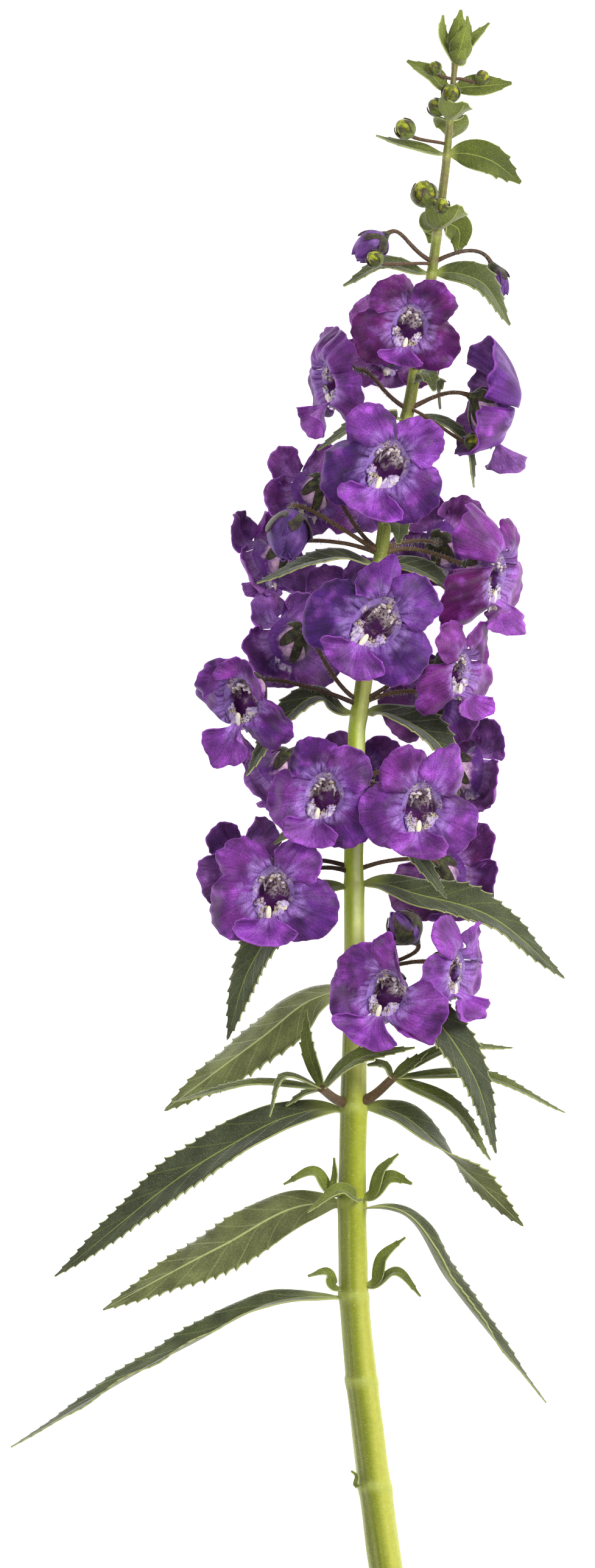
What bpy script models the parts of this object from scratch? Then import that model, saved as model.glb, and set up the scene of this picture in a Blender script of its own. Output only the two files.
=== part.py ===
"""Angelonia flower spike: one cut stem with its leaves, side shoots, buds and open two-lipped blooms, lying on its back.

The stem runs along +Y with its tip at the far end. +Z is up, away from the surface that the spike lies on.
Lengths in this file are millimetres until put_in_metres. An angle round the stem is 0 at the top (+Z), 90 at +X,
180 underneath and 270 at -X.
"""

import math

import bmesh
import bpy
from mathutils import Matrix, Vector

MM = 0.001
PAPER = 0.6  # thickness of a petal or a leaf blade
GAP = 0.5  # clear space between a piece and the one that carries it
LEAN = (-1.24, 0.66)  # degrees about X and Y that lay the spike level on its three low points
MIDDLE = Vector((-1.7, -4.7, 3.5))  # the middle of the spike's box on the surface, which becomes the origin
RESTING = "bloom_09"  # the bloom whose lowest petal has a small flat spot where it touches the surface

# The stem from its cut end to its tip: along, across, height, radius.
STEM = (
    (-168.0, 19.3, 3.5, 3.4),
    (-145.0, 16.1, 5.4, 3.3),
    (-122.6, 13.3, 7.4, 3.2),
    (-105.3, 11.7, 9.0, 2.95),
    (-87.8, 11.3, 10.6, 2.85),
    (-66.5, 11.6, 12.8, 2.7),
    (-44.0, 11.9, 15.2, 2.15),
    (-15.4, 11.6, 18.0, 1.9),
    (11.1, 12.2, 20.0, 1.75),
    (28.0, 14.7, 20.8, 1.6),
    (52.8, 17.9, 21.4, 1.35),
    (79.5, 23.3, 21.4, 1.2),
    (104.4, 27.6, 21.0, 1.05),
    (127.5, 30.6, 20.4, 0.85),
    (146.5, 32.3, 20.0, 0.6),
    (150.5, 32.6, 19.9, 0.9),
)
STEM_RINGS = 26

# The rim of a bloom's throat, the depth of its pouch and how far up the pouch's back end lies.
RIM_ACROSS, RIM_UP, POUCH, POUCH_RISE = 3.5, 4.3, 6.5, 1.2
RIDGE = 1.0  # how far the petals swell forward just outside the throat
# How much further forward and out the lip bends, but not on the blooms that the surface presses flat.
LIP_FORWARD, LIP_OUT = 2.6, 2.2
FAN = math.radians(118)  # half the turn that the rays of one petal spread over

# A petal: the arc of the rim that it grows from (degrees, from the bloom's right, turning left over the top), its aim,
# the distance to its widest part, half its width, half its length, then how far its right and left edges lift,
# its tip bends forward and its sides curl forward.
PETALS = {
    "upper_right": (33, 87, 58, 8.0, 5.7, 5.0, 1.4, 2.0, -1.0, 0.5),
    "upper_left": (93, 148, 122, 8.0, 5.7, 5.0, -1.3, 1.9, -1.2, 0.4),
    "side_left": (154, 242, 202, 7.5, 6.9, 5.4, -1.3, -1.0, -0.8, 0.5),
    "lip": (249, 291, 270, 6.0, 5.4, 3.9, 3.3, 3.3, -0.6, 0.5),
    "side_right": (298, 386, 338, 7.5, 6.9, 5.4, -1.0, -1.2, -0.8, 0.5),
}

# The open blooms, from the tip down: throat (across, along, height), the way it faces, its turn clockwise in
# degrees, its size, how much further forward its petals bend, and where its stalk leaves the stem (along, angle).
BLOOMS = {
    "bloom_01": ((22.6, 93.3, 39.0), (-0.1, -0.15, 1.0), 14, 0.86, 0.2, (84.0, 350)),
    "bloom_02": ((19.2, 90.4, 9.5), (-0.25, -0.1, -1.0), 0, 0.86, 0.0, (84.0, 190)),
    "bloom_03": ((6.8, 82.8, 21.5), (-0.85, -0.22, 0.42), 10, 0.86, -0.4, (76.0, 275)),
    "bloom_04": ((41.2, 76.0, 22.0), (0.86, -0.35, -0.36), 350, 1.0, -0.5, (76.0, 85)),
    "bloom_05": ((18.1, 64.8, 41.0), (-0.08, -0.1, 1.0), 22, 1.0, 0.0, (55.0, 355)),
    "bloom_06": ((15.5, 62.5, 10.0), (-0.1, -0.1, -1.0), 30, 0.86, 0.0, (56.0, 185)),
    "bloom_07": ((2.2, 59.7, 20.4), (-0.5, -0.2, -0.85), 0, 0.86, -0.3, (47.0, 275)),
    "bloom_08": ((-6.3, 46.2, 12.2), (-0.7, -0.35, -0.6), 0, 0.86, -0.4, (46.0, 258)),
    "bloom_09": ((30.2, 49.5, 8.65), (0.2, 0.1, -1.0), 0, 0.9, 0.0, (47.0, 95)),
    "bloom_10": ((40.4, 42.5, 26.0), (0.83, -0.2, 0.48), 0, 1.0, -0.7, (46.0, 82)),
    "bloom_11": ((15.9, 32.5, 41.5), (0.0, -0.05, 1.0), 36, 1.08, 0.0, (29.5, 0)),
    "bloom_12": ((11.4, 36.4, 9.2), (-0.15, 0.05, -1.0), 20, 0.86, 0.0, (30.0, 185)),
    "bloom_13": ((-2.4, 29.3, 17.6), (-0.55, -0.1, -0.85), 0, 0.92, -0.4, (16.0, 275)),
    "bloom_14": ((-11.6, 17.2, 33.2), (-0.5, -0.35, 0.8), 10, 1.02, 0.1, (15.0, 280)),
    "bloom_15": ((33.0, 22.8, 31.0), (0.76, -0.15, 0.6), 0, 0.86, 0.3, (16.0, 80)),
    "bloom_16": ((28.5, 17.5, 11.5), (0.35, -0.05, -0.95), 0, 0.86, 0.0, (15.5, 100)),
    "bloom_17": ((36.0, 3.0, 12.0), (0.75, -0.15, -0.65), 0, 0.9, -0.3, (-0.5, 110)),
    "bloom_18": ((-4.8, 2.0, 18.0), (-0.62, -0.58, -0.5), 0, 0.9, -0.5, (-0.5, 240)),
    "bloom_19": ((5.1, -2.8, 38.5), (-0.25, -0.1, 1.0), 14, 0.94, 0.2, (-1.5, 345)),
    "bloom_20": ((24.9, -5.2, 42.2), (0.08, -0.1, 1.0), 6, 0.96, -0.1, (-2.0, 15)),
    "bloom_21": ((13.5, 0.5, 9.0), (0.0, 0.05, -1.0), 0, 0.84, 0.0, (-1.0, 178)),
    "bloom_22": ((-5.3, -22.5, 36.0), (-0.12, -0.15, 1.0), 6, 1.0, 0.1, (-19.5, 285)),
    "bloom_23": ((-10.5, -17.5, 13.0), (-0.4, -0.05, -0.9), 0, 0.86, 0.0, (-18.5, 262)),
    "bloom_24": ((31.0, -19.0, 14.0), (0.35, -0.25, -0.9), 0, 0.96, -0.2, (-19.0, 100)),
    "bloom_25": ((18.0, -43.0, 37.5), (-0.3, -0.15, 0.95), 20, 0.98, 0.1, (-42.5, 5)),
    "bloom_26": ((32.0, -38.6, 30.5), (0.85, -0.15, 0.55), 0, 0.86, 0.4, (-42.0, 40)),
}

# Closed buds whose petals show: middle, the way the tip points, length, width, and where the stalk leaves the stem.
PETAL_BUDS = {
    "bud_01": ((14.9, 110.3, 22.5), (-0.75, -0.6, 0.1), 7.6, 6.0, (106.2, 280)),
    "bud_02": ((41.4, 103.6, 16.5), (0.35, -0.9, -0.1), 6.6, 4.4, (106.2, 95)),
    "bud_03": ((-2.0, 50.6, 31.5), (-0.1, -0.95, 0.35), 10.5, 8.6, (46.5, 285)),
    "bud_04": ((21.8, -29.4, 28.0), (-0.6, 0.75, 0.3), 7.6, 6.6, (-41.5, 25)),
}

# Small closed green buds, fused to the stem by their stalks: middle, radius, where the stalk leaves the stem.
GREEN_BUDS = (
    ((36.0, 70.1, 28.0), 1.7, (75.6, 50)),
    ((15.8, 107.8, 26.0), 1.7, (105.6, 300)),
    ((26.0, 121.3, 24.0), 2.7, (114.0, 330)),
    ((29.6, 118.8, 25.4), 1.6, (114.0, 10)),
    ((22.1, 134.8, 22.0), 2.1, (130.4, 275)),
    ((31.5, 142.1, 23.2), 1.9, (138.6, 350)),
    ((28.7, 139.5, 18.4), 1.9, (138.4, 200)),
    ((28.3, 147.5, 20.4), 1.3, (143.8, 280)),
    ((38.2, 145.6, 20.6), 1.3, (143.8, 85)),
)

# Leaves, each its own blade: the midrib's points after the base (across, along, height), where it leaves the stem,
# half its width, the way its upper side faces at the base and at the tip, its fold and its teeth a side.
LEAVES = {
    "leaf_01": (((9.5, 102.7, 17.0), (18.7, 107.0, 19.6)), (105.0, 278), 2.3, (0, 0.8, 0.6), (0, 0.8, 0.6), 0.3, 4),
    "leaf_02": (((43.8, 94.6, 18.0), (37.0, 103.6, 23.0)), (105.0, 82), 3.3, (0.1, 0.5, 0.85), (0.4, 0.6, 0.7), 0.3, 4),
    "leaf_03": (((16.2, 133.6, 19.0), (23.0, 131.2, 19.4)), (129.6, 275), 2.0, (0.1, 0.9, 0.5), (0.1, 0.9, 0.5), 0.35, 3),
    "leaf_04": (((46.0, 123.8, 19.5), (39.0, 128.6, 21.5)), (129.6, 88), 3.5, (0, 0.3, 0.95), (0.1, 0.3, 0.95), 0.25, 4),
    "leaf_05": (((28.0, 80.4, 31.0), (26.6, 84.2, 27.6)), (82.6, 30), 2.3, (0.1, 0.7, 0.7), (0.1, 0.3, 0.95), 0.3, 3),
    "leaf_06": (((29.6, 77.6, 12.0), (28.4, 83.4, 14.5)), (83.0, 145), 2.6, (0.2, 0.9, -0.3), (0.6, 0.5, 0.4), 0.3, 4),
    "leaf_07": (((3.9, 68.2, 31.0), (11.6, 73.4, 30.2), (18.0, 76.4, 26.0)), (75.0, 285), 2.3, (0, 0.9, 0.4), (-0.6, 0.6, 0.6), 0.4, 4),
    "leaf_08": (((36.2, 60.8, 25.0), (34.6, 69.4, 22.5), (30.4, 73.8, 21.5)), (75.0, 80), 2.3, (0.3, 0.9, 0.4), (0.9, 0.1, 0.3), 0.4, 5),
    "leaf_09": (((20.6, 49.0, 31.5), (20.6, 53.4, 28.0)), (53.6, 20), 2.6, (0.1, 0.6, 0.8), (0.1, 0.2, 1.0), 0.3, 3),
    "leaf_10": (((-8.4, 41.2, 23.5), (3.0, 45.6, 24.0), (9.4, 46.6, 22.8)), (45.2, 277), 3.4, (0, 0.95, 0.3), (-0.2, 0.9, 0.4), 0.35, 6),
    "leaf_11": (((34.2, 37.4, 20.5), (27.6, 42.6, 23.2)), (45.2, 83), 3.4, (0.1, 0.8, 0.6), (0.5, 0.75, 0.5), 0.35, 5),
    "leaf_12": (((-10.6, 1.4, 30.4), (-3.2, 12.6, 26.4), (4.5, 18.0, 22.5)), (14.6, 278), 3.4, (0, 0.95, -0.1), (-0.8, 0.5, 0.4), 0.35, 6),
    "leaf_13": (((33.2, -2.8, 24.0), (29.4, 7.4, 28.0), (21.6, 13.2, 24.5)), (14.6, 80), 4.6, (0.3, 0.8, 0.6), (0.8, 0.2, 0.7), 0.35, 6),
    "leaf_14": (((30.5, -23.8, 33.0), (25.0, -16.0, 31.0), (18.0, -8.0, 26.5)), (-4.0, 20), 3.0, (0.2, 0.6, 0.75), (0.5, 0.4, 0.8), 0.3, 5),
    "leaf_15": (((-4.8, -12.2, 13.5), (0.2, -8.8, 12.6), (5.2, -5.4, 14.2)), (-3.6, 225), 3.8, (-0.3, 0.9, 0.2), (-0.8, 0.3, 0.5), 0.3, 5),
    "leaf_16": (((-14.4, -52.6, 15.5), (-9.4, -37.0, 20.5), (0.0, -25.0, 23.5)), (-21.2, 278), 4.6, (-0.1, 0.8, 0.6), (-0.5, 0.1, 0.9), 0.35, 6),
    "leaf_17": (((55.0, -40.0, 18.0), (38.2, -26.6, 24.0), (25.0, -22.8, 22.4)), (-20.6, 82), 4.6, (0.1, 0.75, 0.65), (0.2, 0.6, 0.75), 0.35, 6),
    "leaf_18": (((-27.3, -67.2, 5.0), (-7.2, -52.2, 11.0), (4.0, -44.0, 12.5)), (-43.0, 255), 5.6, (0.4, -0.6, -0.7), (0.3, -0.4, -0.85), 0.25, 8),
    "leaf_19": (((40.8, -76.0, 20.5), (36.0, -60.0, 25.5), (27.0, -47.6, 26.0)), (-44.0, 50), 4.8, (0.3, 0.6, 0.75), (0.6, 0.2, 0.8), 0.3, 7),
    "leaf_20": (((-50.0, -101.4, 4.0), (-15.0, -75.0, 15.0), (-2.0, -68.4, 17.0)), (-67.0, 275), 4.4, (0, 0.6, 0.8), (0.2, 0.5, 0.85), 0.45, 8),
    "leaf_21": (((46.8, -91.0, 7.0), (31.0, -76.0, 13.0), (20.0, -67.4, 14.5)), (-66.6, 85), 4.2, (0.1, 0.6, 0.75), (0.5, -0.3, -0.8), 0.3, 7),
    "leaf_22": (((-40.0, -108.3, 4.5), (-15.2, -95.0, 8.5), (2.0, -86.6, 10.5)), (-86.4, 262), 5.2, (0.2, -0.2, -0.95), (0.3, -0.5, -0.85), 0.25, 7),
    "leaf_23": (((51.5, -127.5, 5.5), (31.0, -101.8, 10.5), (21.0, -88.0, 15.0)), (-87.4, 62), 3.9, (0.5, 0.75, 0.3), (0.85, 0.5, 0.2), 0.5, 8),
    "leaf_24": (((-59.0, -136.6, 4.4), (-22.8, -115.6, 8.4), (-2.0, -106.0, 10.0)), (-105.8, 278), 3.9, (0, 0.9, 0.45), (-0.2, 0.95, 0.3), 0.5, 8),
}

# Leafy side shoots: stalk end, where the stalk leaves the stem, then its leaves as for LEAVES but from the stalk's end.
SHOOTS = {
    "shoot_left": (
        (5.0, -62.6, 22.5),
        (-65.6, 295),
        (
            (((1.7, -46.6, 26.5), (2.0, -53.5, 25.0)), 1.5, (-0.4, 0.3, 0.85), (-0.3, 0.1, 0.95), 0.35, 3),
            (((-5.8, -68.4, 25.5), (-3.0, -60.4, 26.5)), 1.5, (-0.2, 0.9, 0.5), (-0.9, 0.2, 0.4), 0.35, 3),
            (((-25.8, -65.4, 13.0), (-8.0, -61.6, 19.5)), 1.6, (0, 0.9, 0.5), (0, 0.9, 0.5), 0.4, 5),
            (((24.0, -54.2, 27.5), (12.0, -56.6, 28.0)), 2.0, (-0.1, 0.6, 0.8), (0, 0.7, 0.7), 0.35, 4),
            (((-2.4, -66.2, 18.0), (1.0, -64.0, 19.0)), 1.2, (-0.1, 0.8, 0.6), (-0.1, 0.8, 0.6), 0.3, 2),
        ),
    ),
    "shoot_right": (
        (19.6, -60.4, 20.0),
        (-65.2, 80),
        (
            (((55.4, -67.6, 9.0), (38.0, -60.0, 15.5)), 1.7, (0, 0.8, 0.6), (0.1, 0.8, 0.6), 0.35, 6),
            (((39.8, -77.4, 15.0), (32.0, -66.6, 19.5)), 2.3, (0.4, 0.7, 0.6), (0.7, 0.4, 0.6), 0.3, 5),
            (((44.6, -54.2, 12.0), (30.0, -54.6, 17.0)), 1.6, (0, 0.8, 0.6), (0.1, 0.8, 0.6), 0.3, 3),
            (((26.6, -55.0, 22.5), (23.4, -57.4, 22.0)), 1.3, (0, 0.5, 0.85), (0, 0.5, 0.85), 0.3, 2),
            (((14.3, -57.8, 25.0), (17.0, -57.6, 23.5)), 1.2, (0, 0.6, 0.8), (-0.3, 0.5, 0.8), 0.3, 2),
        ),
    ),
}

# Small leaves fused to the stem: midrib points after the base, where it leaves the stem, half width, faces, fold, teeth.
BRACTS = (
    (((33.3, 139.2, 27.0), (32.2, 138.4, 24.5)), (136.8, 20), 2.2, (0, 0.8, 0.6), (0, 0.9, 0.4), 0.4, 1),
    (((34.3, 135.6, 13.5), (33.0, 135.6, 16.0)), (136.8, 170), 2.2, (0.2, 0.9, -0.2), (0.3, 0.9, 0.1), 0.4, 1),
    (((22.6, 149.0, 19.0), (28.0, 145.6, 20.0)), (143.2, 272), 1.8, (0.1, 0.9, 0.4), (0.1, 0.9, 0.4), 0.4, 1),
    (((44.2, 144.4, 19.0), (39.0, 144.2, 19.6)), (143.2, 88), 1.9, (-0.1, 0.8, 0.6), (0, 0.8, 0.6), 0.35, 1),
    (((35.6, 119.0, 28.5), (32.4, 117.2, 26.0)), (112.6, 30), 2.4, (0, 0.7, 0.7), (0.2, 0.9, 0.3), 0.4, 1),
    (((32.8, 111.6, 13.0), (31.8, 113.6, 16.0)), (112.6, 160), 2.4, (0.2, 0.9, 0), (0.5, 0.4, 0.7), 0.3, 1),
    (((-2.8, -82.3, 13.0), (3.4, -80.4, 14.0)), (-84.6, 285), 1.1, (0, 0.8, 0.6), (0, 0.8, 0.6), 0.35, 1),
    (((7.6, -76.8, 15.0), (7.8, -80.0, 14.4)), (-84.4, 300), 0.8, (-0.6, 0.2, 0.75), (-0.6, 0.2, 0.75), 0.3, 1),
    (((20.8, -76.6, 17.0), (17.6, -79.6, 16.0)), (-85.0, 60), 1.1, (-0.4, 0.5, 0.75), (-0.4, 0.5, 0.75), 0.35, 1),
    (((23.3, -82.9, 18.0), (19.6, -81.6, 17.0)), (-85.0, 60), 1.5, (-0.2, 0.7, 0.7), (-0.2, 0.7, 0.7), 0.3, 1),
    (((2.0, -88.0, 20.0), (9.0, -83.6, 18.5)), (-85.8, 15), 1.2, (0, 0.7, 0.7), (-0.2, 0.8, 0.6), 0.35, 3),
    (((2.2, -101.4, 13.0), (6.0, -101.0, 12.4)), (-104.0, 290), 1.1, (0, 0.7, 0.7), (0, 0.7, 0.7), 0.35, 1),
    (((22.3, -93.2, 14.0), (17.4, -98.0, 12.6)), (-103.0, 75), 1.2, (-0.4, 0.5, 0.75), (-0.4, 0.5, 0.75), 0.35, 1),
    (((25.2, -105.0, 13.5), (19.6, -100.6, 14.0)), (-103.6, 75), 1.2, (0, 0.7, 0.7), (0.4, 0.6, 0.7), 0.35, 3),
    (((11.2, -141.4, 8.6), (12.4, -142.6, 7.6)), (-144.6, 300), 0.6, (-0.5, 0.5, 0.7), (-0.5, 0.5, 0.7), 0.3, 1),
)

# The bud at the very tip: its closed bracts as for BRACTS, all from the stem's end.
TIP_BRACTS = (
    (((33.9, 158.4, 20.6), (33.6, 153.6, 22.6)), 1.9, (0, 0.2, 1.0), (0, -0.2, 1.0), -0.5, 1),
    (((33.6, 157.6, 18.6), (33.4, 153.6, 17.4)), 1.9, (0, 0.2, -1.0), (0, -0.2, -1.0), -0.5, 1),
    (((29.6, 157.4, 19.8), (29.9, 153.4, 19.8)), 1.3, (0.9, 0.3, 0.2), (0.9, 0.3, 0.2), 0.4, 1),
    (((38.9, 156.2, 19.6), (35.4, 152.6, 19.8)), 1.3, (-0.8, 0.5, 0.2), (-0.8, 0.5, 0.2), 0.4, 1),
)


def clear_scene():
    for thing in list(bpy.data.objects):
        bpy.data.objects.remove(thing)


def new_collection(name, shown=True):
    made = bpy.data.collections.new(name)
    bpy.context.scene.collection.children.link(made)
    made.hide_render = not shown
    return made


def surface(name, colour, roughness):
    material = bpy.data.materials.new(name)
    material.use_nodes = True
    shader = material.node_tree.nodes["Principled BSDF"]
    shader.inputs["Base Color"].default_value = (*colour, 1.0)
    shader.inputs["Roughness"].default_value = roughness
    return material


def laid_down():
    """From the millimetres of this file to metres, with the spike laid on the surface and its box's middle at the origin."""
    lean = Matrix.Rotation(math.radians(LEAN[1]), 4, "Y") @ Matrix.Rotation(math.radians(LEAN[0]), 4, "X")
    return Matrix.Scale(MM, 4) @ Matrix.Translation(-MIDDLE) @ lean


def put_in_metres(mesh):
    mesh.transform(laid_down())


def new_object(name, mesh, material, home):
    mesh.materials.append(material)
    thing = bpy.data.objects.new(name, mesh)
    home.objects.link(thing)
    return thing


def stem_at(along):
    """The stem's centre and radius at one place along it."""
    pairs = list(zip(STEM, STEM[1:]))
    for low, high in pairs:
        if along <= high[0] or (low, high) == pairs[-1]:
            share = (along - low[0]) / (high[0] - low[0])
            across, height, radius = (a + (b - a) * share for a, b in zip(low[1:], high[1:]))
            return Vector((across, along, height)), radius


def outward(angle):
    turn = math.radians(angle)
    return Vector((math.sin(turn), 0.0, math.cos(turn)))


def through(points, share):
    """A point on the smooth curve through the points, share 0 to 1 of its length."""
    spans = [(b - a).length for a, b in zip(points, points[1:])]
    slopes = [(b - a) / span for a, b, span in zip(points, points[1:], spans)]

    def heading(k):
        if k in (0, len(spans)):
            return slopes[min(k, len(spans) - 1)]
        return (slopes[k - 1] * spans[k] + slopes[k] * spans[k - 1]) / (spans[k - 1] + spans[k])

    distance, i = share * sum(spans), 0
    while i < len(spans) - 1 and distance > spans[i]:
        distance -= spans[i]
        i += 1
    t = distance / spans[i]
    return (points[i] * (2 * t ** 3 - 3 * t * t + 1) + points[i + 1] * (3 * t * t - 2 * t ** 3)
            + (heading(i) * (t ** 3 - 2 * t * t + t) + heading(i + 1) * (t ** 3 - t * t)) * spans[i])


def sheet(columns, rows, place):
    """A bmesh grid, each point moved to place(u, v), u from -1 to 1 across and v from 0 to 1 along."""
    made = bmesh.new()
    bmesh.ops.create_grid(made, x_segments=columns, y_segments=rows, size=1.0)
    for vertex in made.verts:
        vertex.co = place(vertex.co.x, (vertex.co.y + 1) / 2)
    return made


def joined(sheets):
    """Several sheets in one mesh, their shared points welded, with every face a triangle."""
    whole = bmesh.new()
    for part in sheets:
        mesh = bpy.data.meshes.new("part")
        part.to_mesh(mesh)
        part.free()
        whole.from_mesh(mesh)
        bpy.data.meshes.remove(mesh)
    bmesh.ops.remove_doubles(whole, verts=whole.verts, dist=0.02)
    bmesh.ops.triangulate(whole, faces=whole.faces, quad_method="SHORT_EDGE")
    bmesh.ops.recalc_face_normals(whole, faces=whole.faces)
    mesh = bpy.data.meshes.new("sheet")
    whole.to_mesh(mesh)
    whole.free()
    return mesh


def thickened(thing, thickness=PAPER):
    wall = thing.modifiers.new("Thickness", "SOLIDIFY")
    wall.thickness = thickness * MM
    wall.offset = 0.0
    return thing


def leaf_width(v):
    """A lance shape: a narrow stalk, widest before the middle, then a long point."""
    return max(math.sin(math.pi * v ** 0.75) ** 0.9, 0.14 * (1 - v) ** 2 + 0.05)


def leaf_rows(teeth):
    """Where the rows of points lie along a leaf: one in each notch and one on each tooth."""
    rows = [0.0]
    for k in range(teeth):
        rows += [0.15 + 0.85 * (k + part) / teeth for part in (0.0, 0.72)]
    return rows + [1.0]


def leaf_sheet(points, half_width, face_base, face_tip, fold, teeth):
    rows = leaf_rows(teeth)
    face_base, face_tip = Vector(face_base), Vector(face_tip)

    def place(u, v):
        row = round(v * (len(rows) - 1))
        along = rows[row]
        middle = through(points, along)
        if row == len(rows) - 1:
            return middle
        ahead = (through(points, along + 0.02) - through(points, max(along - 0.02, 0))).normalized()
        side = ahead.cross(face_base.lerp(face_tip, along)).normalized()
        up = side.cross(ahead)
        width = leaf_width(along)
        half = half_width * width
        if row > 1 and row % 2 == 0:
            half += (0.16 * half_width + 0.2) * width
        return middle + side * u * half + up * abs(u) * half * width * fold

    return sheet(2, len(rows) - 1, place)


def leaf(name, points, half_width, face_base, face_tip, fold, teeth, material, home):
    mesh = joined([leaf_sheet(points, half_width, face_base, face_tip, fold, teeth)])
    put_in_metres(mesh)
    return thickened(new_object(name, mesh, material, home))


def leaf_points(outer, root, start):
    """The midrib from its start on the stem through the outer points, which are listed tip first."""
    along, angle = root
    centre, radius = stem_at(along)
    base = centre + outward(angle) * (radius + start)
    rise = base + outward(angle) * 1.6 + Vector((0, 0.2, 0))
    return [base, rise] + [Vector(p) for p in reversed(outer)]


def bloom_frame(facing, turn):
    """The bloom's own right, up and forward directions as a matrix."""
    forward = Vector(facing).normalized()
    tipward = Vector((0, 1, 0))
    up = (tipward - forward * tipward.dot(forward)).normalized()
    up = Matrix.Rotation(-math.radians(turn), 3, forward) @ up
    return Matrix((up.cross(forward), up, forward)).transposed()


def petal_point(shape, bending, u, v):
    """A point of one petal in the bloom's own directions: u from its right edge to its left, v from the rim out."""
    first, last, aim, reach, wide, long, lift_right, lift_left, bend, curl = shape
    turn = math.radians(first + (last - first) * (u + 1) / 2)
    root = Vector((RIM_ACROSS * math.cos(turn), RIM_UP * math.sin(turn)))
    aim = math.radians(aim)
    ahead = Vector((math.cos(aim), math.sin(aim)))
    left = Vector((-ahead.y, ahead.x))
    edge = ahead * (reach + long * math.cos(u * FAN)) + left * wide * math.sin(u * FAN)
    straight = root.normalized() * (edge - root).dot(root.normalized())
    flat = root + straight * v + (edge - root - straight) * v * v
    lift = lift_right + (lift_left - lift_right) * (u + 1) / 2
    height = RIDGE * math.sin(math.pi * v ** 0.55) + lift * v + (bend + bending) * v * v + curl * u * u * v
    return Vector((flat.x, flat.y, height))


def pouch_point(u, v):
    """The throat behind the rim, u once round it and v from the rim to the back end."""
    turn = math.pi * (u + 1)
    narrow = math.sqrt(max(0.0, 1 - v * v)) * (1 + 0.12 * math.sin(math.pi * v))
    sag = -0.9 * math.sin(math.pi * v)
    return Vector((RIM_ACROSS * narrow * math.cos(turn), RIM_UP * narrow * math.sin(turn) + POUCH_RISE * v * v + sag,
                   -POUCH * v))


def bloom(name, throat, facing, turn, size, bending, material, home):
    """Five petals round the rim of a throat, all one thin wall. The blooms seen from above have one ray more a petal."""
    rays = 4 if facing[2] > 0.9 else 3
    sheets = [pouch_sheet(rays)]
    for petal, shape in PETALS.items():
        forward = bending
        if petal == "lip" and facing[2] > -0.5:
            forward += LIP_FORWARD
            shape = (*shape[:3], shape[3] + LIP_OUT, *shape[4:])
        sheets.append(sheet(rays, 2, lambda u, v, shape=shape, forward=forward: petal_point(shape, forward, u, v)))
    whole = joined(sheets)
    whole.transform(Matrix.Translation(throat) @ (bloom_frame(facing, turn) * size).to_4x4())
    put_in_metres(whole)
    return thickened(new_object(name, whole, material, home))


def pouch_sheet(rays):
    """The pouch: its rim has a point for every ray of every petal, and its middle ring half as many."""
    turns = []
    for first, last, *_ in PETALS.values():
        turns += [first + (last - first) * k / rays for k in range(rays + 1)]
    turns.append(turns[0] + 360)
    steps = len(turns) - 1

    def place(u, v):
        k = round((u + 1) / 2 * steps)
        if v > 0 and k < steps:
            k -= k % 2
        return pouch_point(turns[k] / 180 - 1, v)

    return sheet(steps, 2, place)


def cut_flat(thing):
    """Takes off what of a thin-walled piece lies under the surface, which leaves its flat spot to rest on."""
    graph = bpy.context.evaluated_depsgraph_get()
    mesh = bpy.data.meshes.new_from_object(thing.evaluated_get(graph))
    thing.modifiers.clear()
    thing.data = mesh
    shape = bmesh.new()
    shape.from_mesh(mesh)
    everything = shape.verts[:] + shape.edges[:] + shape.faces[:]
    cut = bmesh.ops.bisect_plane(shape, geom=everything, dist=1e-7, plane_co=(0, 0, 0), plane_no=(0, 0, -1),
                                 clear_outer=True)
    rim = [item for item in cut["geom_cut"] if isinstance(item, bmesh.types.BMEdge)]
    bmesh.ops.holes_fill(shape, edges=rim)
    shape.to_mesh(mesh)
    shape.free()


def stalk(name, points, radius, home):
    """A bent stalk from its root inside the stem to its end: a Bezier curve with a round section, made a mesh."""
    curve = bpy.data.curves.new(name, "CURVE")
    curve.dimensions = "3D"
    curve.bevel_depth = radius * MM
    curve.bevel_resolution = 1
    curve.use_fill_caps = True
    curve.resolution_u = 3
    spline = curve.splines.new("BEZIER")
    spline.bezier_points.add(1)
    root, root_handle, end_handle, end = (laid_down() @ p for p in points)
    first, last = spline.bezier_points
    first.co, first.handle_left, first.handle_right = root, 2 * root - root_handle, root_handle
    last.co, last.handle_left, last.handle_right = end, end_handle, 2 * end - end_handle
    return solid_from_curve(name, curve, home)


def solid_from_curve(name, curve, home):
    """The curve's own solid as a mesh object, its caps welded on."""
    guide = bpy.data.objects.new(name + "_guide", curve)
    bpy.context.scene.collection.objects.link(guide)
    graph = bpy.context.evaluated_depsgraph_get()
    mesh = bpy.data.meshes.new_from_object(guide.evaluated_get(graph))
    bpy.data.objects.remove(guide)
    shape = bmesh.new()
    shape.from_mesh(mesh)
    bmesh.ops.remove_doubles(shape, verts=shape.verts, dist=0.01 * MM)
    bmesh.ops.recalc_face_normals(shape, faces=shape.faces)
    shape.to_mesh(mesh)
    shape.free()
    mesh.materials.clear()
    thing = bpy.data.objects.new(name, mesh)
    home.objects.link(thing)
    return thing


def stalk_points(root, end, arrive, push=5.0, rise=3.0):
    """From inside the stem, out and up through the axil, to the end, which it meets along arrive."""
    along, angle = root
    centre, radius = stem_at(along + 1.3)
    start = centre + outward(angle) * radius * 0.4
    leave = centre + outward(angle) * (radius + push) + Vector((0, rise, 0))
    return start, leave, end - arrive * 4.0, end


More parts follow.
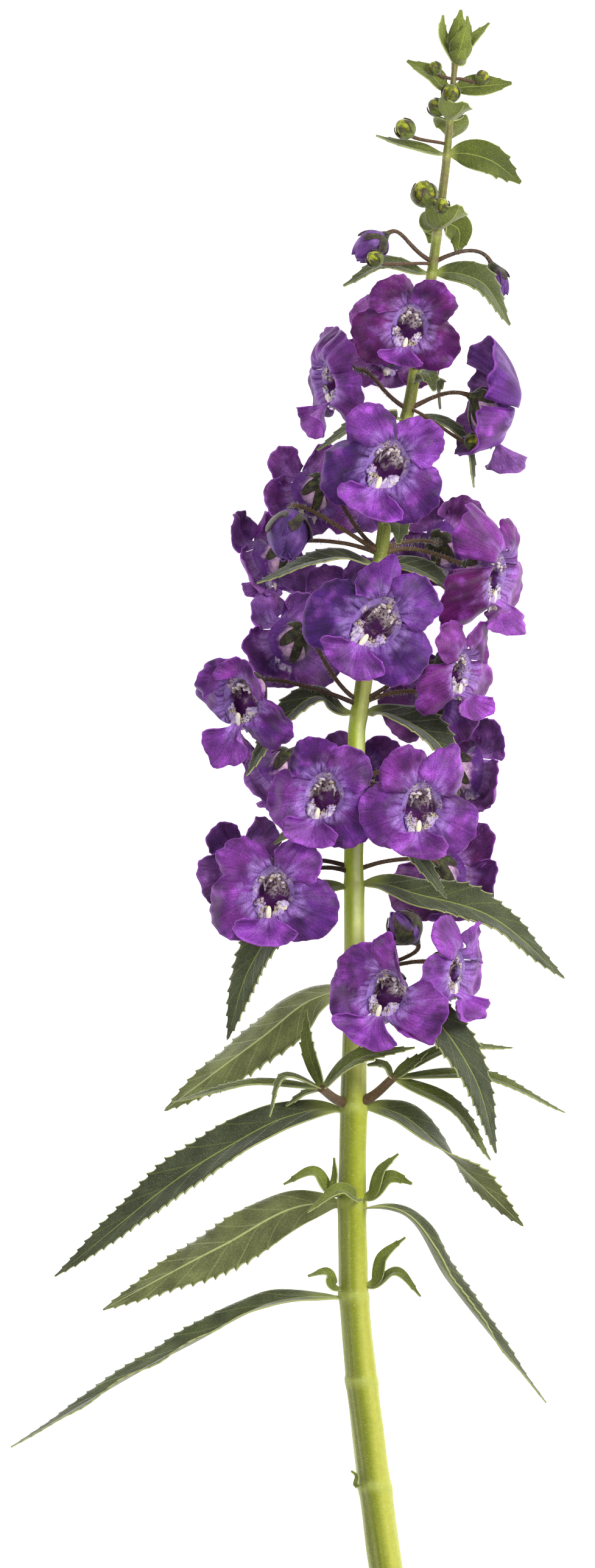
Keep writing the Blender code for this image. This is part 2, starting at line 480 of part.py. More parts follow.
def calyx(name, end, facing, size, home):
    """Five sepals round the back of a bloom, each a corner of a flared cup."""
    shape = bmesh.new()
    bmesh.ops.create_cone(shape, cap_ends=True, segments=5, radius1=0.7 * size, radius2=2.7 * size, depth=3.0 * size)
    turn = Vector((0, 0, 1)).rotation_difference(facing).to_matrix().to_4x4()
    bmesh.ops.transform(shape, matrix=Matrix.Translation(end) @ turn, verts=shape.verts)
    mesh = bpy.data.meshes.new(name)
    shape.to_mesh(mesh)
    shape.free()
    put_in_metres(mesh)
    thing = bpy.data.objects.new(name, mesh)
    home.objects.link(thing)
    return thing


def bloom_back(throat, facing, turn, size):
    """The point just behind the pouch's back end, where the calyx begins, and the bloom's forward direction."""
    frame = bloom_frame(facing, turn)
    behind = Vector((0, POUCH_RISE, -POUCH)) * size - Vector((0, 0, PAPER / 2 + GAP))
    return Vector(throat) + frame @ behind, frame @ Vector((0, 0, 1))


def bud(name, middle, tip, length, width, material, home):
    """A closed bud with its petals wrapped: a round body drawn to a blunt tip, creased along its folds."""
    shape = bmesh.new()
    bmesh.ops.create_uvsphere(shape, u_segments=10, v_segments=6, radius=0.5)
    for vertex in shape.verts:
        turn = math.atan2(vertex.co.y, vertex.co.x)
        crease = 1 - 0.12 * (round(turn / math.radians(36)) % 2)
        vertex.co.x *= width * crease
        vertex.co.y *= width * crease
        vertex.co.z *= length
    turn = Vector((0, 0, 1)).rotation_difference(Vector(tip)).to_matrix().to_4x4()
    bmesh.ops.transform(shape, matrix=Matrix.Translation(middle) @ turn, verts=shape.verts)
    mesh = bpy.data.meshes.new(name)
    shape.to_mesh(mesh)
    shape.free()
    put_in_metres(mesh)
    return new_object(name, mesh, material, home)


def green_bud(name, middle, radius, home):
    shape = bmesh.new()
    bmesh.ops.create_icosphere(shape, subdivisions=1, radius=radius, matrix=Matrix.Translation(middle))
    mesh = bpy.data.meshes.new(name)
    shape.to_mesh(mesh)
    shape.free()
    put_in_metres(mesh)
    thing = bpy.data.objects.new(name, mesh)
    home.objects.link(thing)
    return thing


def fused(base, extras, name):
    """One solid from the base and everything in the extras collection, which is then emptied."""
    union = base.modifiers.new("Grown together", "BOOLEAN")
    union.operation = "UNION"
    union.operand_type = "COLLECTION"
    union.collection = extras
    union.solver = "MANIFOLD"
    graph = bpy.context.evaluated_depsgraph_get()
    mesh = bpy.data.meshes.new_from_object(base.evaluated_get(graph))
    base.modifiers.clear()
    base.data = mesh
    base.name = name
    for thing in list(extras.objects):
        bpy.data.objects.remove(thing)
    bpy.data.collections.remove(extras)
    return base


def main_stem(home):
    curve = bpy.data.curves.new("stem", "CURVE")
    curve.dimensions = "3D"
    curve.bevel_depth = MM
    curve.bevel_resolution = 2
    curve.use_fill_caps = True
    spline = curve.splines.new("POLY")
    spline.points.add(STEM_RINGS - 1)
    low, high = STEM[0][0], STEM[-1][0]
    for k, point in enumerate(spline.points):
        centre, radius = stem_at(low + (high - low) * k / (STEM_RINGS - 1))
        point.co = (*(laid_down() @ centre), 1.0)
        point.radius = radius
    return solid_from_curve("stem", curve, home)


def grow_stem(green, home):
    """The stem with everything of its own colour that grows from it: flower stalks, calyxes, green buds, small leaves."""
    extras = new_collection("grown on the stem", shown=False)
    for name, (throat, facing, turn, size, _, root) in BLOOMS.items():
        back, forward = bloom_back(throat, facing, turn, size)
        middle = back - forward * 1.5 * size
        calyx(name + "_calyx", middle, forward, size, extras)
        stalk(name + "_stalk", stalk_points(root, middle, forward), 0.45, extras)
    for name, (middle, tip, length, width, root) in PETAL_BUDS.items():
        forward = Vector(tip).normalized()
        back = Vector(middle) - forward * (length / 2 + GAP)
        calyx(name + "_calyx", back - forward * 1.3, forward, 0.85, extras)
        stalk(name + "_stalk", stalk_points(root, back - forward * 1.3, forward), 0.45, extras)
    for k, (middle, radius, root) in enumerate(GREEN_BUDS):
        middle = Vector(middle)
        green_bud(f"green_bud_{k}", middle, radius, extras)
        away = (middle - stem_at(root[0])[0]).normalized()
        stalk(f"green_bud_{k}_stalk", stalk_points(root, middle, away * 0.4, 2.0, 1.0), 0.4, extras)
    for k, (outer, root, half_width, *shape) in enumerate(BRACTS):
        leaf(f"bract_{k}", leaf_points(outer, root, -0.5), half_width, *shape, green, extras)
    tip, _ = stem_at(STEM[-1][0])
    for k, (outer, half_width, *shape) in enumerate(TIP_BRACTS):
        points = [tip - Vector((0, 1.2, 0))] + [Vector(p) for p in reversed(outer)]
        leaf(f"tip_bract_{k}", points, half_width, *shape, green, extras)
    stem = fused(main_stem(home), extras, "stem")
    stem.data.materials.clear()
    stem.data.materials.append(green)


def grow_shoot(name, stalk_end, root, leaves, green, home):
    extras = new_collection(name + " leaves", shown=False)
    end = Vector(stalk_end)
    along, angle = root
    centre, radius = stem_at(along)
    start = centre + outward(angle) * (radius + GAP + 0.4)
    ahead = (end - start).normalized()
    green_bud(name + "_knob", end, 1.3, extras)
    for k, (outer, half_width, *shape) in enumerate(leaves):
        outer = [Vector(p) for p in reversed(outer)]
        points = [end + (outer[0] - end).normalized() * 0.5] + outer
        leaf(f"{name}_{k}", points, half_width, *shape, green, extras)
    base = stalk(name, (start, start + ahead * 2, end - ahead * 2, end), 0.8, home)
    shoot = fused(base, extras, name)
    shoot.data.materials.clear()
    shoot.data.materials.append(green)


def main():
    clear_scene()
    home = new_collection("angelonia flower spike")
    stem_green = surface("stem", (0.24, 0.33, 0.06), 0.5)
    leaf_green = surface("leaf", (0.07, 0.11, 0.04), 0.6)
    violet = surface("petal", (0.12, 0.02, 0.28), 0.7)
    grow_stem(stem_green, home)
    for name, (throat, facing, turn, size, bending, _) in BLOOMS.items():
        bloom(name, throat, facing, turn, size, bending, violet, home)
    cut_flat(bpy.data.objects[RESTING])
    for name, (middle, tip, length, width, _) in PETAL_BUDS.items():
        bud(name, middle, tip, length, width, violet, home)
    for name, (outer, root, half_width, *shape) in LEAVES.items():
        leaf(name, leaf_points(outer, root, 0.5), half_width, *shape, leaf_green, home)
    for name, (stalk_end, root, leaves) in SHOOTS.items():
        grow_shoot(name, stalk_end, root, leaves, leaf_green, home)


main()
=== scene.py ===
"""The looks of a cut angelonia flower spike, lying on its back on a white board and seen from above.

The spike's own shapes are in millimetres as the plant grew, stem along +Y, and laid_down() puts them on the
board in metres. An angle round the stem is 0 at the top (+Z), 90 at +X, 180 underneath and 270 at -X.
"""

import math
import random

import bmesh
import bpy
from mathutils import Matrix, Vector, noise


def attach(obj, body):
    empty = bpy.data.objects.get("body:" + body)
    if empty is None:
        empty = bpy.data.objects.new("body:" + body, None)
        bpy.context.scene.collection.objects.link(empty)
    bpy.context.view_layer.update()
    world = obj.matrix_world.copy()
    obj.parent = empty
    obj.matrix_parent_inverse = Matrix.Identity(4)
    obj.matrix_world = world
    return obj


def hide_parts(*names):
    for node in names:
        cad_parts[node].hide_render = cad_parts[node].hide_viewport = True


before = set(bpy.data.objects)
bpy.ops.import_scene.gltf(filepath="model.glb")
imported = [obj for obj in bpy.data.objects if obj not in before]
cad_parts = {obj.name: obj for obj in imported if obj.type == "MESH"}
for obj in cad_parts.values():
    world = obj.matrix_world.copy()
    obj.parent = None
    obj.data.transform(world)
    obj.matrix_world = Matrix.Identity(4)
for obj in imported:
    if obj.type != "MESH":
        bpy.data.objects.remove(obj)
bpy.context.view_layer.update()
scene = bpy.context.scene

# The board and the light.
# The spike lies on a plain white board. A large soft box stands to the right of its tip, a weaker one higher
# up at its left, and a pale room gives the rest.
BOARD_SIDE, BOARD_GLOW = 3.0, 0.8
KEY_PLACE, KEY_SIDE, KEY_WATTS = (0.7, 0.4, 0.85), 0.4, 11.0
FILL_PLACE, FILL_SIDE, FILL_WATTS = (-0.36, 0.12, 1.25), 0.5, 5.4
ROOM_LIGHT = 0.5
CAMERA_FAR = 3.0  # metres above the middle of the spike's height
MIDDLE_HEIGHT = 0.02
VIEW_MIDDLE = (0.00195, 0.00515)
VIEW_HEIGHT = 0.322  # metres that the picture's height covers


def tone(red, green, blue):
    """A colour given as 0 to 255 on a screen, in the renderer's linear values."""
    linear = (((c / 255 + 0.055) / 1.055) ** 2.4 if c > 10 else c / 3295 for c in (red, green, blue))
    return (*linear, 1.0)


def soft_box(name, place, side, watts):
    """A square lamp that points at the middle of the spike."""
    light = bpy.data.lights.new(name, "AREA")
    light.size = side
    light.energy = watts
    lamp = bpy.data.objects.new(name, light)
    lamp.location = place
    lamp.rotation_euler = (-Vector(place)).to_track_quat("-Z", "Y").to_euler()
    scene.collection.objects.link(lamp)


class Finish:
    """One material. Its colour is built up in layers like paint, each given as 0 to 255 on a screen."""

    def __init__(self, name, roughness, sheen=0.0):
        self.material = bpy.data.materials.new(name)
        self.material.use_nodes = True
        self.tree = self.material.node_tree
        self.shader = self.tree.nodes["Principled BSDF"]
        self.shader.inputs["Roughness"].default_value = roughness
        self.shader.inputs["Sheen Weight"].default_value = sheen
        self.shader.inputs["Sheen Roughness"].default_value = 0.4
        self.shader.inputs["Specular IOR Level"].default_value = 0.25
        self.here = self.add("TexCoord", {}).outputs["Object"]
        self.colour = None

    def add(self, kind, sockets, **settings):
        made = self.tree.nodes.new("ShaderNode" + kind)
        for setting, value in settings.items():
            setattr(made, setting, value)
        for socket, value in sockets.items():
            if isinstance(value, bpy.types.NodeSocket):
                self.tree.links.new(value, made.inputs[socket])
            else:
                made.inputs[socket].default_value = value
        return made

    def across_and_along(self):
        """The two shares of a piece's own blade map: across it and along it, each 0 to 1."""
        split = self.add("SeparateXYZ", {0: self.add("UVMap", {}, uv_map="blade").outputs[0]})
        return split.outputs[0], split.outputs[1]

    def mark(self, name):
        return self.add("Attribute", {}, attribute_name=name).outputs["Fac"]

    def sum(self, operation, first, second=0.0, third=0.0):
        return self.add("Math", {0: first, 1: second, 2: third}, operation=operation).outputs[0]

    def both(self, first, second):
        return self.sum("MULTIPLY", first, second)

    def off_middle(self, across):
        """How far out a point of a blade is: 0 on its middle line, 1 at either edge."""
        return self.sum("ABSOLUTE", self.sum("MULTIPLY_ADD", across, 2.0, -1.0))

    def patches(self, size, detail=2.0, where=None):
        """Soft random patches of that size in metres, or in the units of where."""
        sockets = {"Vector": where or self.here, "Scale": 1 / size, "Detail": detail}
        return self.add("TexNoise", sockets).outputs[0]

    def uneven(self, value, by, size):
        """The value with up to half of by added or taken away, in patches of that size."""
        return self.sum("ADD", value, self.sum("MULTIPLY_ADD", self.patches(size), by, -by / 2))

    def streaks(self, across, along, fine, slow):
        """Random lines that run along a blade: fine many across it, and slow many along it."""
        where = self.add("CombineXYZ", {0: self.both(across, fine), 1: self.both(along, slow)})
        return self.patches(1.0, 2.0, where.outputs[0])

    def above(self, value, low, high):
        """0 where value is under low, 1 over high, soft between; the other way round if low is the larger."""
        rising = low < high
        sockets = {"Value": value, "From Min": min(low, high), "From Max": max(low, high),
                   "To Min": 0.0 if rising else 1.0, "To Max": 1.0 if rising else 0.0}
        return self.add("MapRange", sockets, interpolation_type="SMOOTHSTEP").outputs[0]

    def mixed(self, first, second, share, strength=1.0):
        """The first colour, going over to the second as share rises. Either may be an earlier mix."""
        if strength != 1.0:
            share = self.both(share, strength)
        first, second = (tone(*colour) if isinstance(colour, tuple) else colour for colour in (first, second))
        return self.add("Mix", {0: share, 6: first, 7: second}, data_type="RGBA").outputs[2]

    def ground(self, first, second, share):
        self.colour = self.mixed(first, second, share)

    def coat(self, colour, share, strength=1.0):
        """One more layer over what is there, as thick as share and strength make it."""
        self.colour = self.mixed(self.colour, colour, share, strength)

    def shade(self, value, by, least):
        """Makes what is there lighter or darker: times least where value is 0, and by more where it is 1."""
        light = self.sum("MULTIPLY_ADD", value, by, least)
        self.colour = self.add("HueSaturation", {"Value": light, "Color": self.colour}).outputs[0]

    def done(self, height=None, depth=0.0001):
        self.tree.links.new(self.colour, self.shader.inputs["Base Color"])
        if height is not None:
            bump = self.add("Bump", {"Height": height, "Distance": depth, "Strength": 0.7})
            self.tree.links.new(bump.outputs[0], self.shader.inputs["Normal"])
        return self.material


scene.view_settings.view_transform = "Standard"
scene.world = bpy.data.worlds.new("pale room")
scene.world.use_nodes = True
scene.world.node_tree.nodes["Background"].inputs["Color"].default_value = (1.0, 1.0, 1.0, 1.0)
scene.world.node_tree.nodes["Background"].inputs["Strength"].default_value = ROOM_LIGHT
soft_box("key light", KEY_PLACE, KEY_SIDE, KEY_WATTS)
soft_box("fill light", FILL_PLACE, FILL_SIDE, FILL_WATTS)

camera = bpy.data.cameras.new("camera")
camera.sensor_width = 36.0
camera.lens = camera.sensor_width * CAMERA_FAR / VIEW_HEIGHT
camera.clip_end = 2 * CAMERA_FAR
viewer = bpy.data.objects.new("camera", camera)
viewer.location = (*VIEW_MIDDLE, MIDDLE_HEIGHT + CAMERA_FAR)
scene.collection.objects.link(viewer)
scene.camera = viewer

board_finish = Finish("white board", 0.8)
board_finish.ground((250, 250, 250), (254, 254, 253), board_finish.patches(0.02))
board_finish.shader.inputs["Emission Color"].default_value = (1.0, 1.0, 1.0, 1.0)
board_finish.shader.inputs["Emission Strength"].default_value = BOARD_GLOW
board_shape = bmesh.new()
bmesh.ops.create_grid(board_shape, x_segments=2, y_segments=2, size=BOARD_SIDE / 2)
board_mesh = bpy.data.meshes.new("board")
board_shape.to_mesh(board_mesh)
board_shape.free()
board_mesh.materials.append(board_finish.done())
board = bpy.data.objects.new("board", board_mesh)
scene.collection.objects.link(board)

# The stem.
# One green rod, a little square, thicker at each node where a pair of leaves joins it, with fine ribs along.
# It is cut straight across at the bottom, where its pale pith shows, and short white hairs cover it.
MM = 0.001
LEAN = (-1.24, 0.66)  # degrees about X and Y that lay the spike level on its three low points
MIDDLE = Vector((-1.7, -4.7, 3.5))
STEM = (  # along, across, height, radius
    (-168.0, 19.3, 3.5, 3.4),
    (-145.0, 16.1, 5.4, 3.3),
    (-122.6, 13.3, 7.4, 3.2),
    (-105.3, 11.7, 9.0, 2.95),
    (-87.8, 11.3, 10.6, 2.85),
    (-66.5, 11.6, 12.8, 2.7),
    (-44.0, 11.9, 15.2, 2.15),
    (-15.4, 11.6, 18.0, 1.9),
    (11.1, 12.2, 20.0, 1.75),
    (28.0, 14.7, 20.8, 1.6),
    (52.8, 17.9, 21.4, 1.35),
    (79.5, 23.3, 21.4, 1.2),
    (104.4, 27.6, 21.0, 1.05),
    (127.5, 30.6, 20.4, 0.85),
    (146.5, 32.3, 20.0, 0.6),
    (150.5, 32.6, 19.9, 0.9),
)
NODES = (-144.0, -122.4, -104.6, -85.4, -65.8, -43.6, -20.2, 0.0, 15.2, 30.0, 46.0, 56.0, 75.6, 85.0, 105.2,
         113.6, 129.8, 138.0)
STEM_RINGS, STEM_SIDES = 420, 56
PITH_INSET = 0.35
STEM_HAIRS = (5200, 0.45, 0.02)  # how many; length; radius at the root
HAIR_STANDS = 0.45  # share of its length by which a hair's middle stands out of its spot
HAIRS_A_BATCH = 150
OFF_BOARD = 0.02  # the least gap between any piece and the board


def laid_down():
    """From the plant's millimetres to metres, level on the board, the middle of the box at the origin."""
    lean = Matrix.Rotation(math.radians(LEAN[1]), 4, "Y") @ Matrix.Rotation(math.radians(LEAN[0]), 4, "X")
    return Matrix.Scale(MM, 4) @ Matrix.Translation(-MIDDLE) @ lean


def through(points, share):
    """A point on the smooth curve through the points, share 0 to 1 of its length."""
    spans = [(b - a).length for a, b in zip(points, points[1:])]
    slopes = [(b - a) / span for a, b, span in zip(points, points[1:], spans)]

    def heading(k):
        if k in (0, len(spans)):
            return slopes[min(k, len(spans) - 1)]
        return (slopes[k - 1] * spans[k] + slopes[k] * spans[k - 1]) / (spans[k - 1] + spans[k])

    distance, i = share * sum(spans), 0
    while i < len(spans) - 1 and distance > spans[i]:
        distance -= spans[i]
        i += 1
    t = distance / spans[i]
    return (points[i] * (2 * t ** 3 - 3 * t * t + 1) + points[i + 1] * (3 * t * t - 2 * t ** 3)
            + (heading(i) * (t ** 3 - 2 * t * t + t) + heading(i + 1) * (t ** 3 - t * t)) * spans[i])


def stem_at(along):
    """The stem's centre and radius at one place along it."""
    pairs = list(zip(STEM, STEM[1:]))
    for low, high in pairs:
        if along <= high[0] or (low, high) == pairs[-1]:
            share = (along - low[0]) / (high[0] - low[0])
            across, height, radius = (a + (b - a) * share for a, b in zip(low[1:], high[1:]))
            return Vector((across, along, height)), radius


def outward(angle):
    """The direction that leaves the stem square at this angle round it."""
    turn = math.radians(angle)
    return Vector((math.sin(turn), 0.0, math.cos(turn)))


def sheet(columns, rows, place):
    """A grid with its blade map, each point at place(u, v): u from -1 to 1 across, v from 0 to 1 along."""
    made = bmesh.new()
    made.loops.layers.uv.new("blade")
    bmesh.ops.create_grid(made, x_segments=columns, y_segments=rows, size=1.0, calc_uvs=True)
    for vertex in made.verts:
        vertex.co = place(vertex.co.x, (vertex.co.y + 1) / 2)
    return made


def carried(path, rings, across=None):
    """Places along the path, each with two directions across it that turn with it but don't twist."""
    ahead = (path(0.01) - path(0)).normalized()
    across = across or ahead.orthogonal().normalized()
    steps = []
    for k in range(rings + 1):
        share = k / rings
        now = (path(min(share + 0.01, 1)) - path(max(share - 0.01, 0))).normalized()
        across = ahead.rotation_difference(now) @ across
        ahead = now
        steps.append((path(share), across, across.cross(ahead)))
    return steps


def seam_closed(made, within=0.001):
    """Joins the points that meet where a sheet was bent round, or where two sheets share an edge."""
    bmesh.ops.remove_doubles(made, verts=made.verts, dist=within)
    return made


def rod(steps, radius, sides):
    """A closed rod along carried steps, its radius given by radius(u, v)."""
    rings = len(steps) - 1

    def place(u, v):
        centre, across, up = steps[round(v * rings)]
        turn = math.pi * u
        return centre + (across * math.sin(turn) + up * math.cos(turn)) * radius(u, v)

    made = seam_closed(sheet(sides, rings, place))
    bmesh.ops.holes_fill(made, edges=[edge for edge in made.edges if edge.is_boundary])
    return made


def painted(shape, finish=0, tint=0.5):
    """Gives a shape's faces one of its piece's finishes, and its points their share of the second hue."""
    layer = shape.verts.layers.float.new("tint")
    for vertex in shape.verts:
        vertex[layer] = tint
    for face in shape.faces:
        face.material_index = finish
    return shape


def together(shapes):
    """All these shapes as one."""
    whole = bmesh.new()
    for shape in shapes:
        mesh = bpy.data.meshes.new("part")
        shape.to_mesh(mesh)
        shape.free()
        whole.from_mesh(mesh)
        bpy.data.meshes.remove(mesh)
    return whole


def seated(place, heading):
    """What moves a shape that stands upright at the origin to a place, turned to its heading."""
    return Matrix.Translation(place) @ Vector((0, 0, 1)).rotation_difference(heading).to_matrix().to_4x4()


def hairs(spots, length, radius, finish=0):
    """Fine hairs, each a slim three-sided cone from its spot along its own direction."""
    batches = []
    for first in range(0, len(spots), HAIRS_A_BATCH):
        batch = bmesh.new()
        for spot, heading in spots[first:first + HAIRS_A_BATCH]:
            seat = seated(spot + heading * length * HAIR_STANDS, heading)
            bmesh.ops.create_cone(batch, cap_ends=True, segments=3, radius1=radius, radius2=0.0,
                                  depth=length, matrix=seat)
        batches.append(painted(batch, finish))
    return together(batches)


def spots_round(steps, radius, count, draw, spread=0.5):
    """Random spots on a rod, each with a direction that leaves it nearly square."""
    spots = []
    for _ in range(count):
        u, v = draw.uniform(-1, 1), draw.random()
        centre, across, up = steps[round(v * (len(steps) - 1))]
        turn = math.pi * u
        out = across * math.sin(turn) + up * math.cos(turn)
        ahead = up.cross(across)
        lean = ahead * draw.uniform(-spread, spread) + across * draw.uniform(-spread, spread) * 0.6
        slide = ahead * draw.uniform(-0.5, 0.5) * (steps[1][0] - steps[0][0]).length
        spots.append((centre + slide + out * radius(u, v), (out + lean).normalized()))
    return spots


def fitted(name, shape, finishes, stands_for=(), thickness=0.0, backs=0):
    """A finished piece: laid down in metres, smooth, with its finishes, and with a wall if it is thin."""
    shape.transform(laid_down())
    lowest = (thickness / 2 + OFF_BOARD) * MM
    for vertex in shape.verts:
        vertex.co.z = max(vertex.co.z, lowest)
    mesh = bpy.data.meshes.new(name)
    shape.to_mesh(mesh)
    shape.free()
    mesh.shade_smooth()
    for finish in finishes:
        mesh.materials.append(finish)
    piece = bpy.data.objects.new(name, mesh)
    scene.collection.objects.link(piece)
    if thickness:
        wall = piece.modifiers.new("Thickness", "SOLIDIFY")
        wall.thickness = thickness * MM
        wall.offset = 0.0
        wall.material_offset = backs
    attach(piece, "root")
    if stands_for:
        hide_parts(*stands_for)


# Up the stem the green goes from olive, with painted shade down its left side and painted light down its
# right, to bright yellow-green painted lighter where the blooms shade it, with a painted highlight, and
# then to dark olive among the upper blooms. Over it lie streaks, pale nodes, a brown tip and fine specks.
bark = Finish("stem green", 0.42, 0.25)
bark_across, bark_along = bark.across_and_along()
bark_wander = bark.uneven(bark_across, 0.08, 0.02)
bark_streaks = bark.above(bark.streaks(bark_across, bark_along, 7, 2), 0.3, 0.7)
# Painted shade: the stem's left side is painted darker olive, with a paler strip further left.
bark_shaded_left = bark.mixed((100, 108, 28), (140, 146, 56), bark_streaks)
bark_shaded_left = bark.mixed(bark_shaded_left, (176, 178, 110), bark.above(bark_wander, 0.34, 0.28), 0.6)
# Painted light: the right side is painted paler, yellower near the bottom, and darker in a band beside the
# line where the two sides meet.
bark_lit_right = bark.mixed((178, 180, 72), (156, 164, 44), bark.above(bark_along, 0.2, 0.25), 0.8)
bark_lit_right = bark.mixed((120, 130, 18), bark_lit_right, bark.above(bark_wander, 0.47, 0.6))
bark.ground(bark_shaded_left, bark_lit_right, bark.above(bark_wander, 0.45, 0.49))
# Painted light against the shade of the lowest blooms: from about a third of the way up, the right half of
# the front is painted paler.
bark_low_painted_light = bark.both(bark.above(bark_along, 0.31, 0.36), bark.above(bark_wander, 0.42, 0.56))
bark.coat((212, 214, 128), bark_low_painted_light, 0.7)
# Painted light: the stretch from 0.4 to 0.59 of the way up lies in the blooms' shade and is painted bright
# yellow-green.
bark_middle_painted_light = bark.both(bark.above(bark_along, 0.4, 0.45), bark.above(bark_along, 0.59, 0.55))
bark.coat((184, 206, 56), bark_middle_painted_light, 0.85)
# Painted highlight: a pale shine down the front of that stretch, a little right of its middle.
bark_painted_highlight = bark.both(bark.above(bark_wander, 0.46, 0.54), bark.above(bark_wander, 0.68, 0.58))
bark.coat((246, 250, 180), bark.both(bark_middle_painted_light, bark_painted_highlight), 0.8)
bark.coat((104, 112, 36), bark.above(bark_along, 0.57, 0.66), 0.88)
bark.coat((206, 210, 120), bark.above(bark.streaks(bark_across, bark_along, 12, 4), 0.5, 0.85), 0.3)
bark.coat((176, 184, 92), bark.above(bark.mark("tint"), 0.5, 1.0), 0.45)
bark.coat((110, 92, 64), bark.above(bark.sum("ADD", bark_along, bark.patches(0.004)), 1.3, 1.46), 0.6)
bark.coat((202, 206, 140), bark.above(bark.patches(0.0004, 1.0), 0.62, 0.72), 0.25)
bark.shade(bark.patches(0.0012), 0.3, 0.84)
stem_green = bark.done(bark.patches(0.0005, 1.0), 0.00012)

cut_pith = Finish("pale pith", 0.6)
cut_pith.ground((214, 222, 168), (232, 236, 206), cut_pith.patches(0.0009))
pith = cut_pith.done(cut_pith.patches(0.0004), 0.00008)

fuzz = Finish("white hair", 0.5)
fuzz.ground((226, 226, 214), (200, 200, 180), fuzz.patches(0.002))
white_hair = fuzz.done()


def stem_along(v):
    return STEM[0][0] + (STEM[-1][0] - STEM[0][0]) * v


def stem_path(v):
    return stem_at(stem_along(v))[0]


def rough(x, y=0.0, z=0.0):
    """A smooth random number between -1 and 1 for each place."""
    return noise.noise(Vector((x, y, z)))


def stem_swelling(along):
    """How much thicker the stem is at and just under its nodes."""
    return sum(math.exp(-((along - node + 0.5) / (1.5 if along < node else 0.7)) ** 2) for node in NODES)


def stem_radius(u, v):
    along = stem_along(v)
    turn = math.pi * u
    square = 0.05 * math.cos(4 * turn + 0.5)
    ribs = 0.012 * math.cos(10 * turn + 3 * math.sin(along / 21)) + 0.006 * math.cos(18 * turn)
    lumps = 0.05 * rough(math.cos(turn), math.sin(turn), along / 9)
    return stem_at(along)[1] * (0.99 + square + ribs + lumps + 0.08 * stem_swelling(along))


stem_steps = carried(stem_path, STEM_RINGS, Vector((1, 0, 0)))
stem_shape = painted(rod(stem_steps, stem_radius, STEM_SIDES))
stem_tint = stem_shape.verts.layers.float["tint"]
for vertex in stem_shape.verts:
    vertex[stem_tint] = 0.5 + 0.5 * min(stem_swelling(vertex.co.y), 1.0)
stem_shape.faces.ensure_lookup_table()
cut_end = min(stem_shape.faces, key=lambda face: face.calc_center_median().y)
bmesh.ops.inset_individual(stem_shape, faces=[cut_end], thickness=PITH_INSET, depth=0.0)
cut_end.material_index = 1
stem_spots = spots_round(stem_steps, stem_radius, STEM_HAIRS[0], random.Random(11))
stem_hairs = hairs(stem_spots, *STEM_HAIRS[1:], 2)
fitted("flower_stem", together([stem_shape, stem_hairs]), [stem_green, pith, white_hair], ["stem"])

